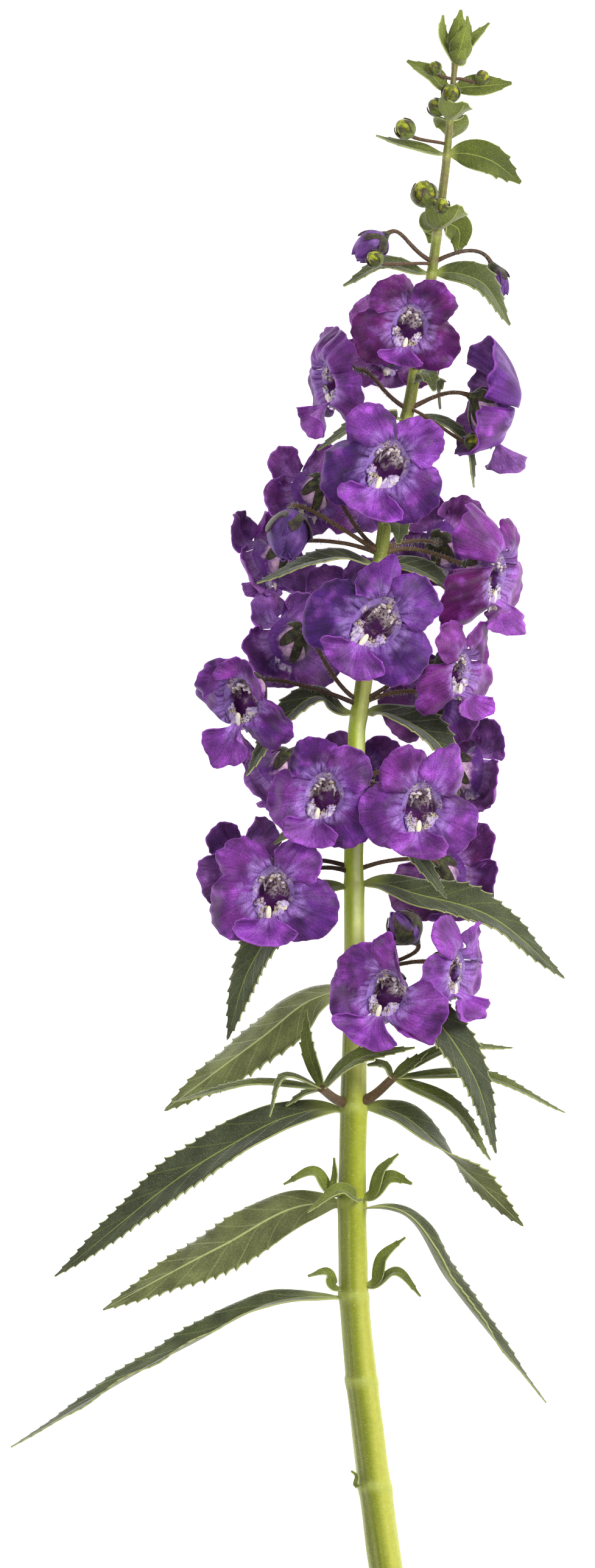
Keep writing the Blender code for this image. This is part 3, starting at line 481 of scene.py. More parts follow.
# The leaves.
# Lance-shaped blades with a short stalk, sharp forward teeth and a pale midrib, folded like a shallow trough.
# They are dark velvety olive above and paler with raised veins below, and each grows straight out of a node.
LEAF_WALL = 0.3
VEINS = 8  # side veins on each half of a leaf
LEAF_COLUMNS, ROWS_A_TOOTH = 12, 6
LEAF_SUNK = 0.4  # how deep a leaf's foot sits in the stem
RIPPLE, QUILT, GROOVE = 0.26, 0.1, 0.16  # waves as a share of half the width; depth of veins; of midrib
LEAVES = {
    # points after the base, tip first; root (along, angle)
    # half width; the way the upper side faces at base and tip; fold; freshness and painted shade, under 0 for
    # a leaf in shade
    "leaf_01": (((9.5, 102.7, 17.0), (18.7, 107.0, 19.6)), (105.0, 278),
                2.3, (0, 0.8, 0.6), (0, 0.8, 0.6), 0.3, 0.5),
    "leaf_02": (((43.8, 94.6, 18.0), (37.0, 103.6, 23.0)), (105.0, 82),
                3.3, (0.1, 0.5, 0.85), (0.4, 0.6, 0.7), 0.3, 0.5),
    "leaf_03": (((16.2, 133.6, 19.0), (23.0, 131.2, 19.4)), (129.6, 275),
                2.0, (0.1, 0.9, 0.5), (0.1, 0.9, 0.5), 0.35, 1.0),
    "leaf_04": (((46.0, 123.8, 19.5), (39.0, 128.6, 21.5)), (129.6, 88),
                3.5, (0, 0.3, 0.95), (0.1, 0.3, 0.95), 0.25, 0.8),
    "leaf_05": (((28.0, 80.4, 31.0), (26.6, 84.2, 27.6)), (82.6, 30),
                2.3, (0.1, 0.7, 0.7), (0.1, 0.3, 0.95), 0.3, 0.4),
    "leaf_06": (((29.6, 77.6, 12.0), (28.4, 83.4, 14.5)), (83.0, 145),
                2.6, (0.2, 0.9, -0.3), (0.6, 0.5, 0.4), 0.3, 0.4),
    "leaf_07": (((3.9, 68.2, 31.0), (11.6, 73.4, 30.2), (18.0, 76.4, 26.0)), (75.0, 285),
                2.3, (0, 0.9, 0.4), (-0.6, 0.6, 0.6), 0.4, 0.2),
    "leaf_08": (((36.2, 60.8, 25.0), (34.6, 69.4, 22.5), (30.4, 73.8, 21.5)), (75.0, 80),
                2.3, (0.3, 0.9, 0.4), (0.9, 0.1, 0.3), 0.4, 0.1),
    "leaf_09": (((20.6, 49.0, 31.5), (20.6, 53.4, 28.0)), (53.6, 20),
                2.6, (0.1, 0.6, 0.8), (0.1, 0.2, 1.0), 0.3, 0.3),
    "leaf_10": (((-8.4, 41.2, 23.5), (3.0, 45.6, 24.0), (9.4, 46.6, 22.8)), (45.2, 277),
                3.4, (0, 0.95, 0.3), (-0.2, 0.9, 0.4), 0.35, -0.5),
    "leaf_11": (((34.2, 37.4, 20.5), (27.6, 42.6, 23.2)), (45.2, 83),
                3.4, (0.1, 0.8, 0.6), (0.5, 0.75, 0.5), 0.35, 0.1),
    "leaf_12": (((-10.6, 1.4, 30.4), (-3.2, 12.6, 26.4), (4.5, 18.0, 22.5)), (14.6, 278),
                3.4, (-0.1, 0.8, 0.55), (-0.6, 0.5, 0.6), 0.35, -0.8),
    "leaf_13": (((33.2, -2.8, 24.0), (29.4, 7.4, 28.0), (21.6, 13.2, 24.5)), (14.6, 80),
                4.6, (0.3, 0.8, 0.6), (0.8, 0.2, 0.7), 0.35, -0.7),
    "leaf_14": (((30.5, -23.8, 33.0), (25.0, -16.0, 31.0), (18.0, -8.0, 26.5)), (-4.0, 20),
                3.0, (0.2, 0.6, 0.75), (0.5, 0.4, 0.8), 0.3, -0.2),
    "leaf_15": (((-4.8, -12.2, 13.5), (0.2, -8.8, 12.6), (5.2, -5.4, 14.2)), (-3.6, 225),
                3.8, (-0.3, 0.9, 0.2), (-0.8, 0.3, 0.5), 0.3, 0.4),
    "leaf_16": (((-14.4, -52.6, 15.5), (-9.4, -37.0, 20.5), (0.0, -25.0, 23.5)), (-21.2, 278),
                4.6, (-0.1, 0.8, 0.6), (-0.5, 0.1, 0.9), 0.35, 0.15),
    "leaf_17": (((55.0, -40.0, 18.0), (38.2, -26.6, 24.0), (25.0, -22.8, 22.4)), (-20.6, 82),
                4.6, (0.1, 0.75, 0.65), (0.2, 0.6, 0.75), 0.35, 0.2),
    "leaf_18": (((-27.3, -67.2, 5.0), (-7.2, -52.2, 11.0), (4.0, -44.0, 12.5)), (-43.0, 255),
                5.6, (0.4, -0.6, -0.7), (0.3, -0.4, -0.85), 0.25, 0.4),
    "leaf_19": (((40.8, -76.0, 20.5), (36.0, -60.0, 25.5), (27.0, -47.6, 26.0)), (-44.0, 50),
                4.8, (0.3, 0.6, 0.75), (0.6, 0.2, 0.8), 0.3, 0.0),
    "leaf_20": (((-50.0, -101.4, 4.0), (-15.0, -75.0, 15.0), (-2.0, -68.4, 17.0)), (-67.0, 275),
                4.4, (0, 0.6, 0.8), (0.2, 0.5, 0.85), 0.45, 0.0),
    "leaf_21": (((46.8, -91.0, 7.0), (31.0, -76.0, 13.0), (20.0, -67.4, 14.5)), (-66.6, 85),
                4.2, (0.1, 0.6, 0.75), (0.5, -0.3, -0.8), 0.3, 0.3),
    "leaf_22": (((-40.0, -108.3, 4.5), (-15.2, -95.0, 8.5), (2.0, -86.6, 10.5)), (-86.4, 262),
                5.2, (0.2, -0.2, -0.95), (0.3, -0.5, -0.85), 0.25, 0.3),
    "leaf_23": (((51.5, -127.5, 5.5), (31.0, -101.8, 10.5), (21.0, -88.0, 15.0)), (-87.4, 62),
                3.9, (0.5, 0.75, 0.3), (0.85, 0.5, 0.2), 0.5, 0.3),
    "leaf_24": (((-59.0, -136.6, 4.4), (-22.8, -115.6, 8.4), (-2.0, -106.0, 10.0)), (-105.8, 278),
                3.9, (0, 0.9, 0.45), (-0.2, 0.95, 0.3), 0.5, 0.3),
}


def leaf_finish(name, dark, fresh, rib, vein_share, rib_share):
    """Velvety green by the leaf's freshness, and painted darker as shade where that is under 0, with a pale
    midrib, side veins and a paler toothed edge.
    """
    made = Finish(name, 0.62, 0.35)
    across, along = made.across_and_along()
    out = made.off_middle(across)
    made.ground(dark, fresh, made.above(made.mark("tint"), 0.0, 1.0))
    made.coat((150, 164, 62), made.above(made.mark("tint"), 1.0, 2.0))
    # Painted shade: where the freshness is under 0 the leaf is painted darker, down to 0.4 of its brightness
    # at -1.
    made.shade(made.above(made.mark("tint"), -1.0, 0.0), 0.6, 0.4)
    made.shade(made.patches(0.005), 1.6, 0.2)
    sweep = made.sum("MULTIPLY_ADD", out, -0.16, along)
    wave = made.sum("FRACT", made.both(sweep, VEINS))
    vein = made.above(made.sum("ABSOLUTE", made.sum("ADD", wave, -0.5)), 0.07, 0.015)
    made.coat(rib, vein, vein_share)
    made.shade(made.streaks(made.both(sweep, 5.0), out, 12, 3), 0.6, 0.7)
    made.shade(made.patches(0.00028, 1.0), 1.1, 0.45)
    made.coat((140, 148, 118), made.above(made.patches(0.00018, 0.0), 0.6, 0.72), 0.2)
    made.coat(rib, made.above(out, 0.09, 0.035), rib_share)
    made.coat(rib, made.above(along, 0.13, 0.02), 0.6)
    made.coat((206, 210, 136), made.above(out, 0.95, 0.995), 0.55)
    relief = made.sum("MULTIPLY_ADD", vein, -0.4, made.patches(0.0004, 1.0))
    return made.done(relief, 0.00025)


leaf_above = leaf_finish("leaf above", (60, 66, 42), (82, 92, 24), (160, 170, 80), 0.12, 0.6)
leaf_below = leaf_finish("leaf below", (90, 94, 58), (110, 120, 52), (176, 182, 118), 0.22, 0.9)
LEAF_SIDES = (leaf_above, leaf_below)


def leaf_width(v):
    """A lance shape: a narrow stalk, widest before the middle, then a long point."""
    return max(math.sin(math.pi * v ** 0.75) ** 0.9, 0.14 * (1 - v) ** 2 + 0.05)


def leaf_points(outer, root, sunk):
    """The midrib, from its foot in the stem through the outer points, which are listed tip first."""
    along, angle = root
    centre, radius = stem_at(along)
    base = centre + outward(angle) * (radius - sunk)
    rise = base + outward(angle) * 1.6 + Vector((0, 0.2, 0))
    return [base, rise] + [Vector(p) for p in reversed(outer)]


def leaf_sheet(points, half_width, face_base, face_tip, fold, toothed, columns, gap=2.4):
    """One blade, folded like a trough. Past its toothed share it has a raked spur every gap millimetres."""
    length = sum((b - a).length for a, b in zip(points, points[1:]))
    teeth = max(round(length / gap), 3)
    face_base, face_tip = Vector(face_base), Vector(face_tip)
    wave = points[-1].x

    def place(u, v):
        u = math.copysign(abs(u) ** 1.3, u)
        step = (v * teeth + 0.001) % 1.0
        spur = max(0.0, (step - 0.3) / 0.54) ** 1.6 * min(max((v - toothed) * 6, 0), 1) if v < 0.985 else 0.0
        slide = 0.16 * spur * abs(u) ** 3 / teeth
        share = min(v + slide, 1.0)
        middle = through(points, share)
        ahead = (through(points, min(share + 0.01, 1)) - through(points, max(share - 0.01, 0))).normalized()
        side = ahead.cross(face_base.lerp(face_tip, share)).normalized()
        up = side.cross(ahead)
        width = leaf_width(v) * (1 if v < 0.995 else 0.1)
        half = half_width * width + (0.1 * half_width + 0.26) * width ** 0.5 * spur * abs(u) ** 5
        trough = (math.hypot(u, 0.12) - 0.12) * half * width * fold
        ripple = RIPPLE * abs(u) * half * rough(u * 0.9, v * length / 9, wave)
        quilt = -QUILT * width * math.cos(2 * math.pi * (v * VEINS - abs(u) * 1.3)) * abs(u) * (1 - abs(u))
        groove = -GROOVE * width * math.exp(-(u / 0.09) ** 2)
        return middle + side * u * half + up * (trough + ripple + quilt + groove)

    return sheet(columns, teeth * ROWS_A_TOOTH, place)


for name, (outer, root, half_width, *shape, freshness_and_shade) in LEAVES.items():
    toothed = 0.5 if freshness_and_shade > 0.7 else 0.28  # the youngest leaves have teeth near the tip only
    blade = leaf_sheet(leaf_points(outer, root, LEAF_SUNK), half_width, *shape, toothed, LEAF_COLUMNS)
    fitted("blade_" + name[-2:], painted(blade, 0, freshness_and_shade), LEAF_SIDES, [name], LEAF_WALL, 1)

# The small leaves of the tip and the tufts in the lower axils.
# Little bracts carry the green buds near the tip, nine more close round its end, and the lower nodes have
# tufts of tiny young leaves. They are the leaves' own green, and fresher.
SMALL_WALL, SMALL_COLUMNS, SMALL_SUNK = 0.25, 8, 0.5
TIP_FOOT = 2.4  # how far below the stem's end the leaves of the tip start
BRACTS = (  # points after the base, tip first; root; half width; facing at base and tip; fold
    (((34.4, 139.9, 26.4), (33.6, 138.4, 24.8)), (136.8, 10), 3.7, (0, 0.88, -0.45), (0.2, 0.88, -0.4), 1.1),
    (((31.4, 133.4, 14.5), (32.0, 135.2, 17.0)), (136.6, 185), 3.7, (0, 0.87, -0.5), (0, 0.87, -0.5), 0.4),
    (((22.6, 149.0, 19.0), (28.0, 145.6, 20.0)), (143.2, 272), 2.3, (0.3, 0.6, 0.75), (0.3, 0.5, 0.8), 0.4),
    (((44.2, 144.4, 19.0), (39.0, 143.8, 19.6)), (143.2, 88), 2.5, (-0.1, 0.35, 0.95), (0, 0.35, 0.95), 0.35),
    (((33.2, 118.6, 28.4), (32.2, 116.4, 26.6)), (114.0, 8), 4.4, (0, 0.88, -0.45), (0.3, 0.88, -0.3), 1.1),
    (((33.0, 109.2, 15.6), (33.2, 114.4, 16.4)), (115.6, 165), 3.2, (0.1, 0.2, 1.0), (0.1, 0.1, 1.0), 0.3),
    (((27.4, 111.6, 15.0), (27.4, 115.4, 15.6)), (114.6, 230), 2.5, (0.2, 0.3, 0.9), (0.3, 0.3, 0.9), 0.4),
)
TUFTS = (  # the same
    (((-2.8, -82.3, 13.0), (3.4, -79.8, 14.0)), (-84.6, 285), 1.5, (0, 0.7, 0.7), (0, 0.7, 0.7), 0.35),
    (((7.6, -76.8, 15.0), (7.8, -80.0, 14.4)), (-84.4, 300), 0.9, (-0.6, 0.2, 0.75), (-0.6, 0.2, 0.75), 0.3),
    (((20.8, -76.0, 17.0), (17.6, -79.0, 16.0)), (-85, 60), 1.4, (-0.4, 0.4, 0.85), (-0.4, 0.4, 0.85), 0.35),
    (((23.6, -82.2, 18.0), (19.8, -80.8, 17.0)), (-85, 60), 2.0, (-0.2, 0.5, 0.85), (-0.2, 0.5, 0.85), 0.3),
    (((2.0, -88.0, 20.0), (9.0, -83.4, 18.5)), (-85.8, 15), 1.6, (0, 0.6, 0.8), (-0.2, 0.7, 0.7), 0.35),
    (((2.2, -101.2, 13.0), (6.0, -100.4, 12.4)), (-104.0, 290), 1.3, (0, 0.7, 0.7), (0, 0.7, 0.7), 0.35),
    (((22.3, -93.2, 14.0), (17.8, -97.2, 12.6)), (-103, 75), 1.5, (-0.4, 0.4, 0.85), (-0.4, 0.4, 0.85), 0.35),
    (((25.4, -105.4, 13.5), (20.6, -100.4, 14.0)), (-103.6, 75), 1.4, (0, 0.7, 0.7), (0.4, 0.5, 0.75), 0.35),
    (((11.2, -141.4, 8.6), (12.4, -142.6, 7.6)), (-144.6, 300), 0.6, (-0.5, 0.5, 0.7), (-0.5, 0.5, 0.7), 0.3),
)
TIP_BRACTS = (  # the same without a root
    (((34.2, 151.8, 22.8), (33.0, 149.4, 22.6)), 1.9, (0, 0.2, 1.0), (0, -0.2, 1.0), -0.55),
    (((33.4, 151.8, 17.0), (33.0, 149.4, 17.2)), 1.9, (0, 0.2, -1.0), (0, -0.2, -1.0), -0.55),
    (((34.9, 156.2, 22.6), (33.8, 152.4, 23.6)), 2.4, (0, 0.2, 1.0), (0, -0.2, 1.0), -0.6),
    (((33.0, 156.6, 17.4), (33.2, 152.8, 16.4)), 2.4, (0, 0.2, -1.0), (0, -0.2, -1.0), -0.55),
    (((33.7, 159.4, 20.6), (33.1, 155.6, 21.8)), 2.1, (-0.1, 0.2, 1.0), (-0.1, -0.2, 1.0), -0.6),
    (((35.0, 158.2, 19.6), (35.2, 155.0, 20.6)), 1.6, (0.5, 0.2, 0.8), (0.5, -0.2, 0.8), -0.5),
    (((33.4, 158.0, 18.8), (33.4, 155.0, 17.9)), 1.9, (0, 0.2, -1.0), (0, -0.2, -1.0), -0.5),
    (((30.0, 158.4, 20.2), (29.7, 154.2, 20.4)), 1.8, (0.7, 0.3, 0.6), (0.7, 0.3, 0.6), 0.4),
    (((39.6, 156.8, 19.6), (36.2, 153.2, 19.8)), 1.8, (-0.5, 0.5, 0.6), (-0.5, 0.5, 0.6), 0.4),
)


def small_blade(points, half_width, shape, freshness_and_shade, toothed, gap=1.9):
    return painted(leaf_sheet(points, half_width, *shape, toothed, SMALL_COLUMNS, gap), 0, freshness_and_shade)


def small_leaves(name, group, freshness_and_shade):
    blades = [small_blade(leaf_points(outer, root, SMALL_SUNK), half_width, shape, freshness_and_shade, toothed=0.74)
              for outer, root, half_width, *shape in group]
    fitted(name, together(blades), LEAF_SIDES, (), SMALL_WALL, 1)


small_leaves("bracts", BRACTS, freshness_and_shade=1.15)
small_leaves("axil_tufts", TUFTS, freshness_and_shade=1.3)
tip_root = stem_path(1.0) - Vector((0, TIP_FOOT, 0))
tip_blades = []
for outer, half_width, *shape in TIP_BRACTS:
    points = [tip_root] + [Vector(p) for p in reversed(outer)]
    tip_blades.append(small_blade(points, half_width, shape, freshness_and_shade=1.35, toothed=0.7))
fitted("tip_bud", together(tip_blades), LEAF_SIDES, (), SMALL_WALL, 1)

# The two side shoots.
# Each is a short brown stalk from the axil of a lower leaf. Five narrow young leaves fan out from its end.
SHOOT_WALL = 0.28
SHOOT_RINGS, SHOOT_SIDES = 20, 16
SHOOTS = {  # end of the stalk; its root (along, angle); its leaves, as in TIP_BRACTS
    "shoot_left": (
        (5.0, -62.6, 22.5),
        (-65.6, 295),
        (
            (((1.7, -46.6, 26.5), (2.0, -53.5, 25.0)), 1.5, (-0.4, 0.3, 0.85), (-0.3, 0.1, 0.95), 0.35),
            (((-5.8, -68.4, 25.5), (-3.0, -60.4, 26.5)), 1.5, (-0.2, 0.9, 0.5), (-0.9, 0.2, 0.4), 0.35),
            (((-25.8, -65.4, 13.0), (-8.0, -61.6, 19.5)), 1.6, (0, 0.9, 0.5), (0, 0.9, 0.5), 0.4),
            (((24.0, -54.2, 27.5), (12.0, -56.6, 28.0)), 2.0, (-0.1, 0.6, 0.8), (0, 0.7, 0.7), 0.35),
            (((-2.4, -66.2, 18.0), (1.0, -64.0, 19.0)), 1.2, (-0.1, 0.8, 0.6), (-0.1, 0.8, 0.6), 0.3),
        ),
    ),
    "shoot_right": (
        (19.6, -60.4, 20.0),
        (-65.2, 80),
        (
            (((55.4, -67.6, 9.0), (38.0, -60.0, 15.5)), 1.7, (0, 0.8, 0.6), (0.1, 0.8, 0.6), 0.35),
            (((39.8, -77.4, 15.0), (32.0, -66.6, 19.5)), 2.3, (0.4, 0.7, 0.6), (0.7, 0.4, 0.6), 0.3),
            (((44.6, -54.2, 12.0), (30.0, -54.6, 17.0)), 1.6, (0, 0.8, 0.6), (0.1, 0.8, 0.6), 0.3),
            (((26.6, -55.0, 22.5), (23.4, -57.4, 22.0)), 1.3, (0, 0.5, 0.85), (0, 0.5, 0.85), 0.3),
            (((14.3, -57.8, 25.0), (17.0, -57.6, 23.5)), 1.2, (0, 0.6, 0.8), (-0.3, 0.5, 0.8), 0.3),
        ),
    ),
}

twig = Finish("brown stalk", 0.55, 0.2)
twig_across, twig_along = twig.across_and_along()
twig.ground((70, 50, 40), (150, 120, 76), twig.above(twig.mark("tint"), 0.0, 1.0))
twig.coat((120, 96, 66), twig.above(twig.streaks(twig_across, twig_along, 9, 4), 0.5, 0.8), 0.5)
twig.shade(twig.patches(0.0006), 1.0, 0.5)
stalk_brown = twig.done(twig.streaks(twig_across, twig_along, 14, 20), 0.00008)


def bend(points, share):
    """A point on the cubic curve with these two ends and two handles."""
    a, b, c, d = points
    rest = 1 - share
    return a * rest ** 3 + b * (3 * rest * rest * share) + c * (3 * rest * share * share) + d * share ** 3


for name, (stalk_end, root, leaves) in SHOOTS.items():
    end = Vector(stalk_end)
    centre, radius = stem_at(root[0])
    start = centre + outward(root[1]) * radius * 0.3
    ahead = (end - start).normalized()
    handles = (start, start + outward(root[1]) * 3.4, end - ahead * 2, end + ahead * 0.6)
    steps = carried(lambda share: bend(handles, share), SHOOT_RINGS)
    stalk = rod(steps, lambda u, v: 1.0 + 0.2 * (1 - v) ** 3 - 0.1 * v, SHOOT_SIDES)
    fitted("stalk_of_" + name, painted(stalk, 0, 0.3), [stalk_brown])
    blades = []
    for outer, half_width, *shape in leaves:
        points = [Vector(p) for p in reversed(outer)]
        points.insert(0, end - (points[0] - end).normalized() * 0.3)
        blades.append(small_blade(points, half_width, shape, freshness_and_shade=0.7, toothed=0.4, gap=2.1))
    fitted("leaves_of_" + name, together(blades), LEAF_SIDES, [name], SHOOT_WALL, 1)

# The open blooms.
# Two-lipped flowers about 25 mm across: two upper petals, two broad side petals and a narrow-necked lip that
# bends forward, round a throat that runs back into a blunt pouch. The petals are thin violet velvet.
RIM_ACROSS, RIM_UP = 4.2, 5.4
POUCH, POUCH_RISE, POUCH_SAG, POUCH_ROWS = 6.5, 1.2, 0.9, 11
RIDGE = 1.9  # how far the petals swell forward just outside the throat
LIP_FORWARD, LIP_OUT = 2.4, 1.9  # how much further forward and out a lip bends that nothing presses flat
FAN = math.radians(118)  # half the turn that one petal's outline spreads over
ROLL, SWELL, FRILL, CREASE = 3.0, 0.8, 1.1, 0.45  # how much each kind of unevenness lifts or sinks a petal
PETAL_WALL = 0.22
PETAL_COLUMNS, PETAL_ROWS = 32, 14
PETALS = {  # arc of the rim; aim; reach; half width; half length; lift of right and left edge; bend; curl
    "upper_right": (33, 87, 56, 8.2, 5.5, 5.1, 1.4, 2.0, -1.0, 0.5),
    "upper_left": (93, 148, 124, 8.2, 5.5, 5.1, -1.3, 1.9, -1.2, 0.4),
    "side_left": (152, 244, 206, 7.7, 7.0, 5.8, -1.3, -1.0, -0.8, 0.5),
    "lip": (249, 291, 270, 6.4, 6.9, 3.2, 3.3, 3.3, -0.6, 0.5),
    "side_right": (296, 388, 334, 7.7, 7.0, 5.8, -1.0, -1.2, -0.8, 0.5),
}
OWN_PETALS = {  # aim; reach; half width; half length; bend; where its edge is drawn to a point, and how far
    ("bloom_01", "side_left"): (212, 8.0, 7.2, 6.2, 0.0),
    ("bloom_01", "lip"): (272, 6.6, 5.6, 2.2, 1.0),
    ("bloom_03", "upper_left"): (124, 8.2, 5.8, 5.2, -2.4),
    ("bloom_03", "upper_right"): (64, 7.8, 6.2, 5.4, -3.0),
    ("bloom_03", "lip"): (262, 7.2, 5.4, 4.2, 0.5),
    ("bloom_04", "upper_left"): (116, 7.6, 6.6, 5.6, -8.0, -0.3, 0.25),
    ("bloom_04", "upper_right"): (62, 7.4, 5.8, 5.2, -6.0),
    ("bloom_04", "side_left"): (222, 7.6, 5.6, 6.2, -5.0),
    ("bloom_05", "upper_left"): (136, 8.0, 5.0, 5.4, 0.4, 0.3, 0.12),
    ("bloom_05", "side_left"): (218, 8.4, 6.6, 5.8, 0.0),
    ("bloom_10", "upper_left"): (112, 8.4, 6.6, 6.0, -5.0),
    ("bloom_10", "upper_right"): (60, 7.6, 5.2, 4.8, -2.0),
    ("bloom_10", "side_left"): (226, 8.2, 6.0, 6.4, -2.6),
    ("bloom_11", "upper_left"): (121, 7.2, 4.6, 4.6, 1.0, -0.2, 0.4),
    ("bloom_11", "upper_right"): (64, 8.0, 5.4, 5.2, 0.0, -0.3, 0.15),
    ("bloom_11", "lip"): (274, 6.6, 6.6, 3.3, -1.3),
    ("bloom_14", "upper_left"): (120, 5.6, 5.8, 4.2, 3.2),
    ("bloom_14", "upper_right"): (66, 5.8, 5.6, 4.2, 3.0),
    ("bloom_14", "side_left"): (172, 7.0, 4.4, 4.2, -1.0, 0.3, 0.2),
    ("bloom_14", "side_right"): (318, 6.8, 5.4, 5.8, 0.6),
    ("bloom_14", "lip"): (264, 7.4, 4.8, 4.6, -1.4, -0.2, 0.35),
    ("bloom_15", "side_left"): (216, 7.6, 6.2, 5.6, -1.6),
    ("bloom_20", "upper_right"): (63, 8.4, 4.6, 5.6, 0.0, 0.1, 0.3),
    ("bloom_20", "lip"): (270, 6.4, 6.6, 3.2, -2.1),
    ("bloom_22", "upper_left"): (140, 8.2, 5.2, 5.6, 0.0, 0.25, 0.2),
    ("bloom_25", "upper_right"): (108, 8.0, 2.8, 4.0, 0.0, -0.1, 0.3),
    ("bloom_25", "upper_left"): (154, 7.6, 5.6, 4.8, 0.0),
    ("bloom_25", "side_right"): (352, 8.0, 6.4, 6.0, 0.8, -0.4, 0.2),
    ("bloom_26", "upper_left"): (112, 8.0, 6.2, 5.6, -1.6),
}
PALE_PETALS = {  # how pale the upper right, upper left, left and right petals are
    "bloom_01": (0.1, 0.2, 0.0, 0.0),
    "bloom_03": (0.5, 0.3, 0.2, 0.5),
    "bloom_05": (0.9, 0.7, 0.0, 0.3),
    "bloom_11": (0.4, 0.6, 0.0, 0.2),
    "bloom_14": (0.6, 0.5, 0.2, 0.3),
    "bloom_20": (1.0, 0.5, 0.5, 0.7),
    "bloom_22": (0.7, 0.6, 0.4, 0.4),
    "bloom_25": (0.4, 0.5, 0.3, 0.6),
    "bloom_26": (1.0, 0.9, 0.8, 1.0),
}
HEART_ACROSS, HEART_UP = 3.7, 4.8  # half the width and height of the throat that the next places are for
TOOTH_UP, TOOTH_FORWARD = -3.7, 1.0
TOOTH_SIZE = (1.05, 2.7, 0.9)
FILAMENT_RADIUS, FILAMENT_RINGS, FILAMENT_SIDES = 0.17, 8, 6
STAMENS = ((0.7, 3.0, 1.0), (1.6, 2.1, 0.85))  # out to either side; up; size
PALATE = (  # turn; out from the middle; length; forward
    (220, 2.9, 2.0, 0.2),
    (241, 3.2, 2.6, 0.3),
    (258, 4.0, 3.2, 0.7),
    (284, 4.0, 3.2, 0.7),
    (301, 3.2, 2.6, 0.2),
    (321, 2.8, 1.8, 0.1),
)
CURLED_LIPS = {  # how far both ends of some lips curl up
    "bloom_01": 6.0,
    "bloom_05": 2.6,
    "bloom_14": 2.4,
    "bloom_20": 3.0,
    "bloom_22": 3.0,
}
BLOOMS = {  # throat; the way it faces; turn; size; bending; stalk's root (along, angle); share of magenta
    "bloom_01": ((22.6, 93.3, 39.0), (-0.1, -0.15, 1.0), 14, 0.86, 0.2, (84.0, 350), 0.7),
    "bloom_02": ((19.2, 90.4, 9.5), (-0.25, -0.1, -1.0), 0, 0.86, 0.0, (84.0, 190), 0.8),
    "bloom_03": ((6.8, 82.8, 21.5), (-0.85, -0.22, 0.42), 10, 0.86, -0.4, (76.0, 275), 0.55),
    "bloom_04": ((41.2, 76.0, 22.0), (0.86, -0.35, -0.36), 350, 1.0, -0.5, (76.0, 85), 0.25),
    "bloom_05": ((18.1, 64.8, 41.0), (-0.08, -0.1, 1.0), 22, 1.0, 0.0, (55.0, 355), 0.15),
    "bloom_06": ((15.5, 62.5, 10.0), (-0.1, -0.1, -1.0), 30, 0.86, 0.0, (56.0, 185), 0.3),
    "bloom_07": ((2.2, 59.7, 20.4), (-0.5, -0.2, -0.85), 0, 0.86, -0.3, (47.0, 275), 0.45),
    "bloom_08": ((-6.3, 46.2, 12.2), (-0.7, -0.35, -0.6), 0, 0.86, -0.4, (46.0, 258), 0.5),
    "bloom_09": ((30.2, 49.5, 8.65), (0.2, 0.1, -1.0), 0, 0.9, 0.0, (47.0, 95), 0.75),
    "bloom_10": ((40.4, 42.5, 26.0), (0.83, -0.2, 0.48), 0, 1.0, -0.7, (46.0, 82), 0.9),
    "bloom_11": ((15.9, 32.5, 41.5), (0.0, -0.05, 1.0), 36, 1.08, 0.0, (29.5, 0), 0.05),
    "bloom_12": ((11.4, 36.4, 9.2), (-0.15, 0.05, -1.0), 20, 0.86, 0.0, (30.0, 185), 0.3),
    "bloom_13": ((-2.4, 29.3, 17.6), (-0.55, -0.1, -0.85), 0, 0.92, -0.4, (16.0, 275), 0.3),
    "bloom_14": ((-11.6, 17.2, 33.2), (-0.5, -0.35, 0.8), 10, 1.02, 0.1, (15.0, 280), 0.35),
    "bloom_15": ((33.0, 22.8, 31.0), (0.76, -0.15, 0.6), 0, 0.86, 0.3, (16.0, 80), 0.95),
    "bloom_16": ((28.5, 17.5, 11.5), (0.35, -0.05, -0.95), 0, 0.86, 0.0, (15.5, 100), 0.5),
    "bloom_17": ((36.0, 3.0, 12.0), (0.75, -0.15, -0.65), 0, 0.9, -0.3, (-0.5, 110), 0.6),
    "bloom_18": ((-4.8, 2.0, 18.0), (-0.62, -0.58, -0.5), 0, 0.9, -0.5, (-0.5, 240), 0.4),
    "bloom_19": ((5.1, -2.8, 38.5), (-0.25, -0.1, 1.0), 14, 0.94, 0.2, (-1.5, 345), 0.35),
    "bloom_20": ((24.9, -5.2, 42.2), (0.08, -0.1, 1.0), 6, 0.96, -0.1, (-2.0, 15), 0.5),
    "bloom_21": ((13.5, 0.5, 9.0), (0.0, 0.05, -1.0), 0, 0.84, 0.0, (-1.0, 178), 0.4),
    "bloom_22": ((-5.3, -22.5, 36.0), (-0.12, -0.15, 1.0), 6, 1.0, 0.1, (-19.5, 285), 0.35),
    "bloom_23": ((-10.5, -17.5, 13.0), (-0.4, -0.05, -0.9), 0, 0.86, 0.0, (-18.5, 262), 0.4),
    "bloom_24": ((31.0, -19.0, 14.0), (0.35, -0.25, -0.9), 0, 0.96, -0.2, (-19.0, 100), 0.5),
    "bloom_25": ((18.0, -43.0, 37.5), (-0.3, -0.15, 0.95), 20, 0.98, 0.1, (-42.5, 5), 0.45),
    "bloom_26": ((32.0, -38.6, 30.5), (0.85, -0.15, 0.55), 0, 0.86, 0.4, (-42.0, 40), 0.5),
}


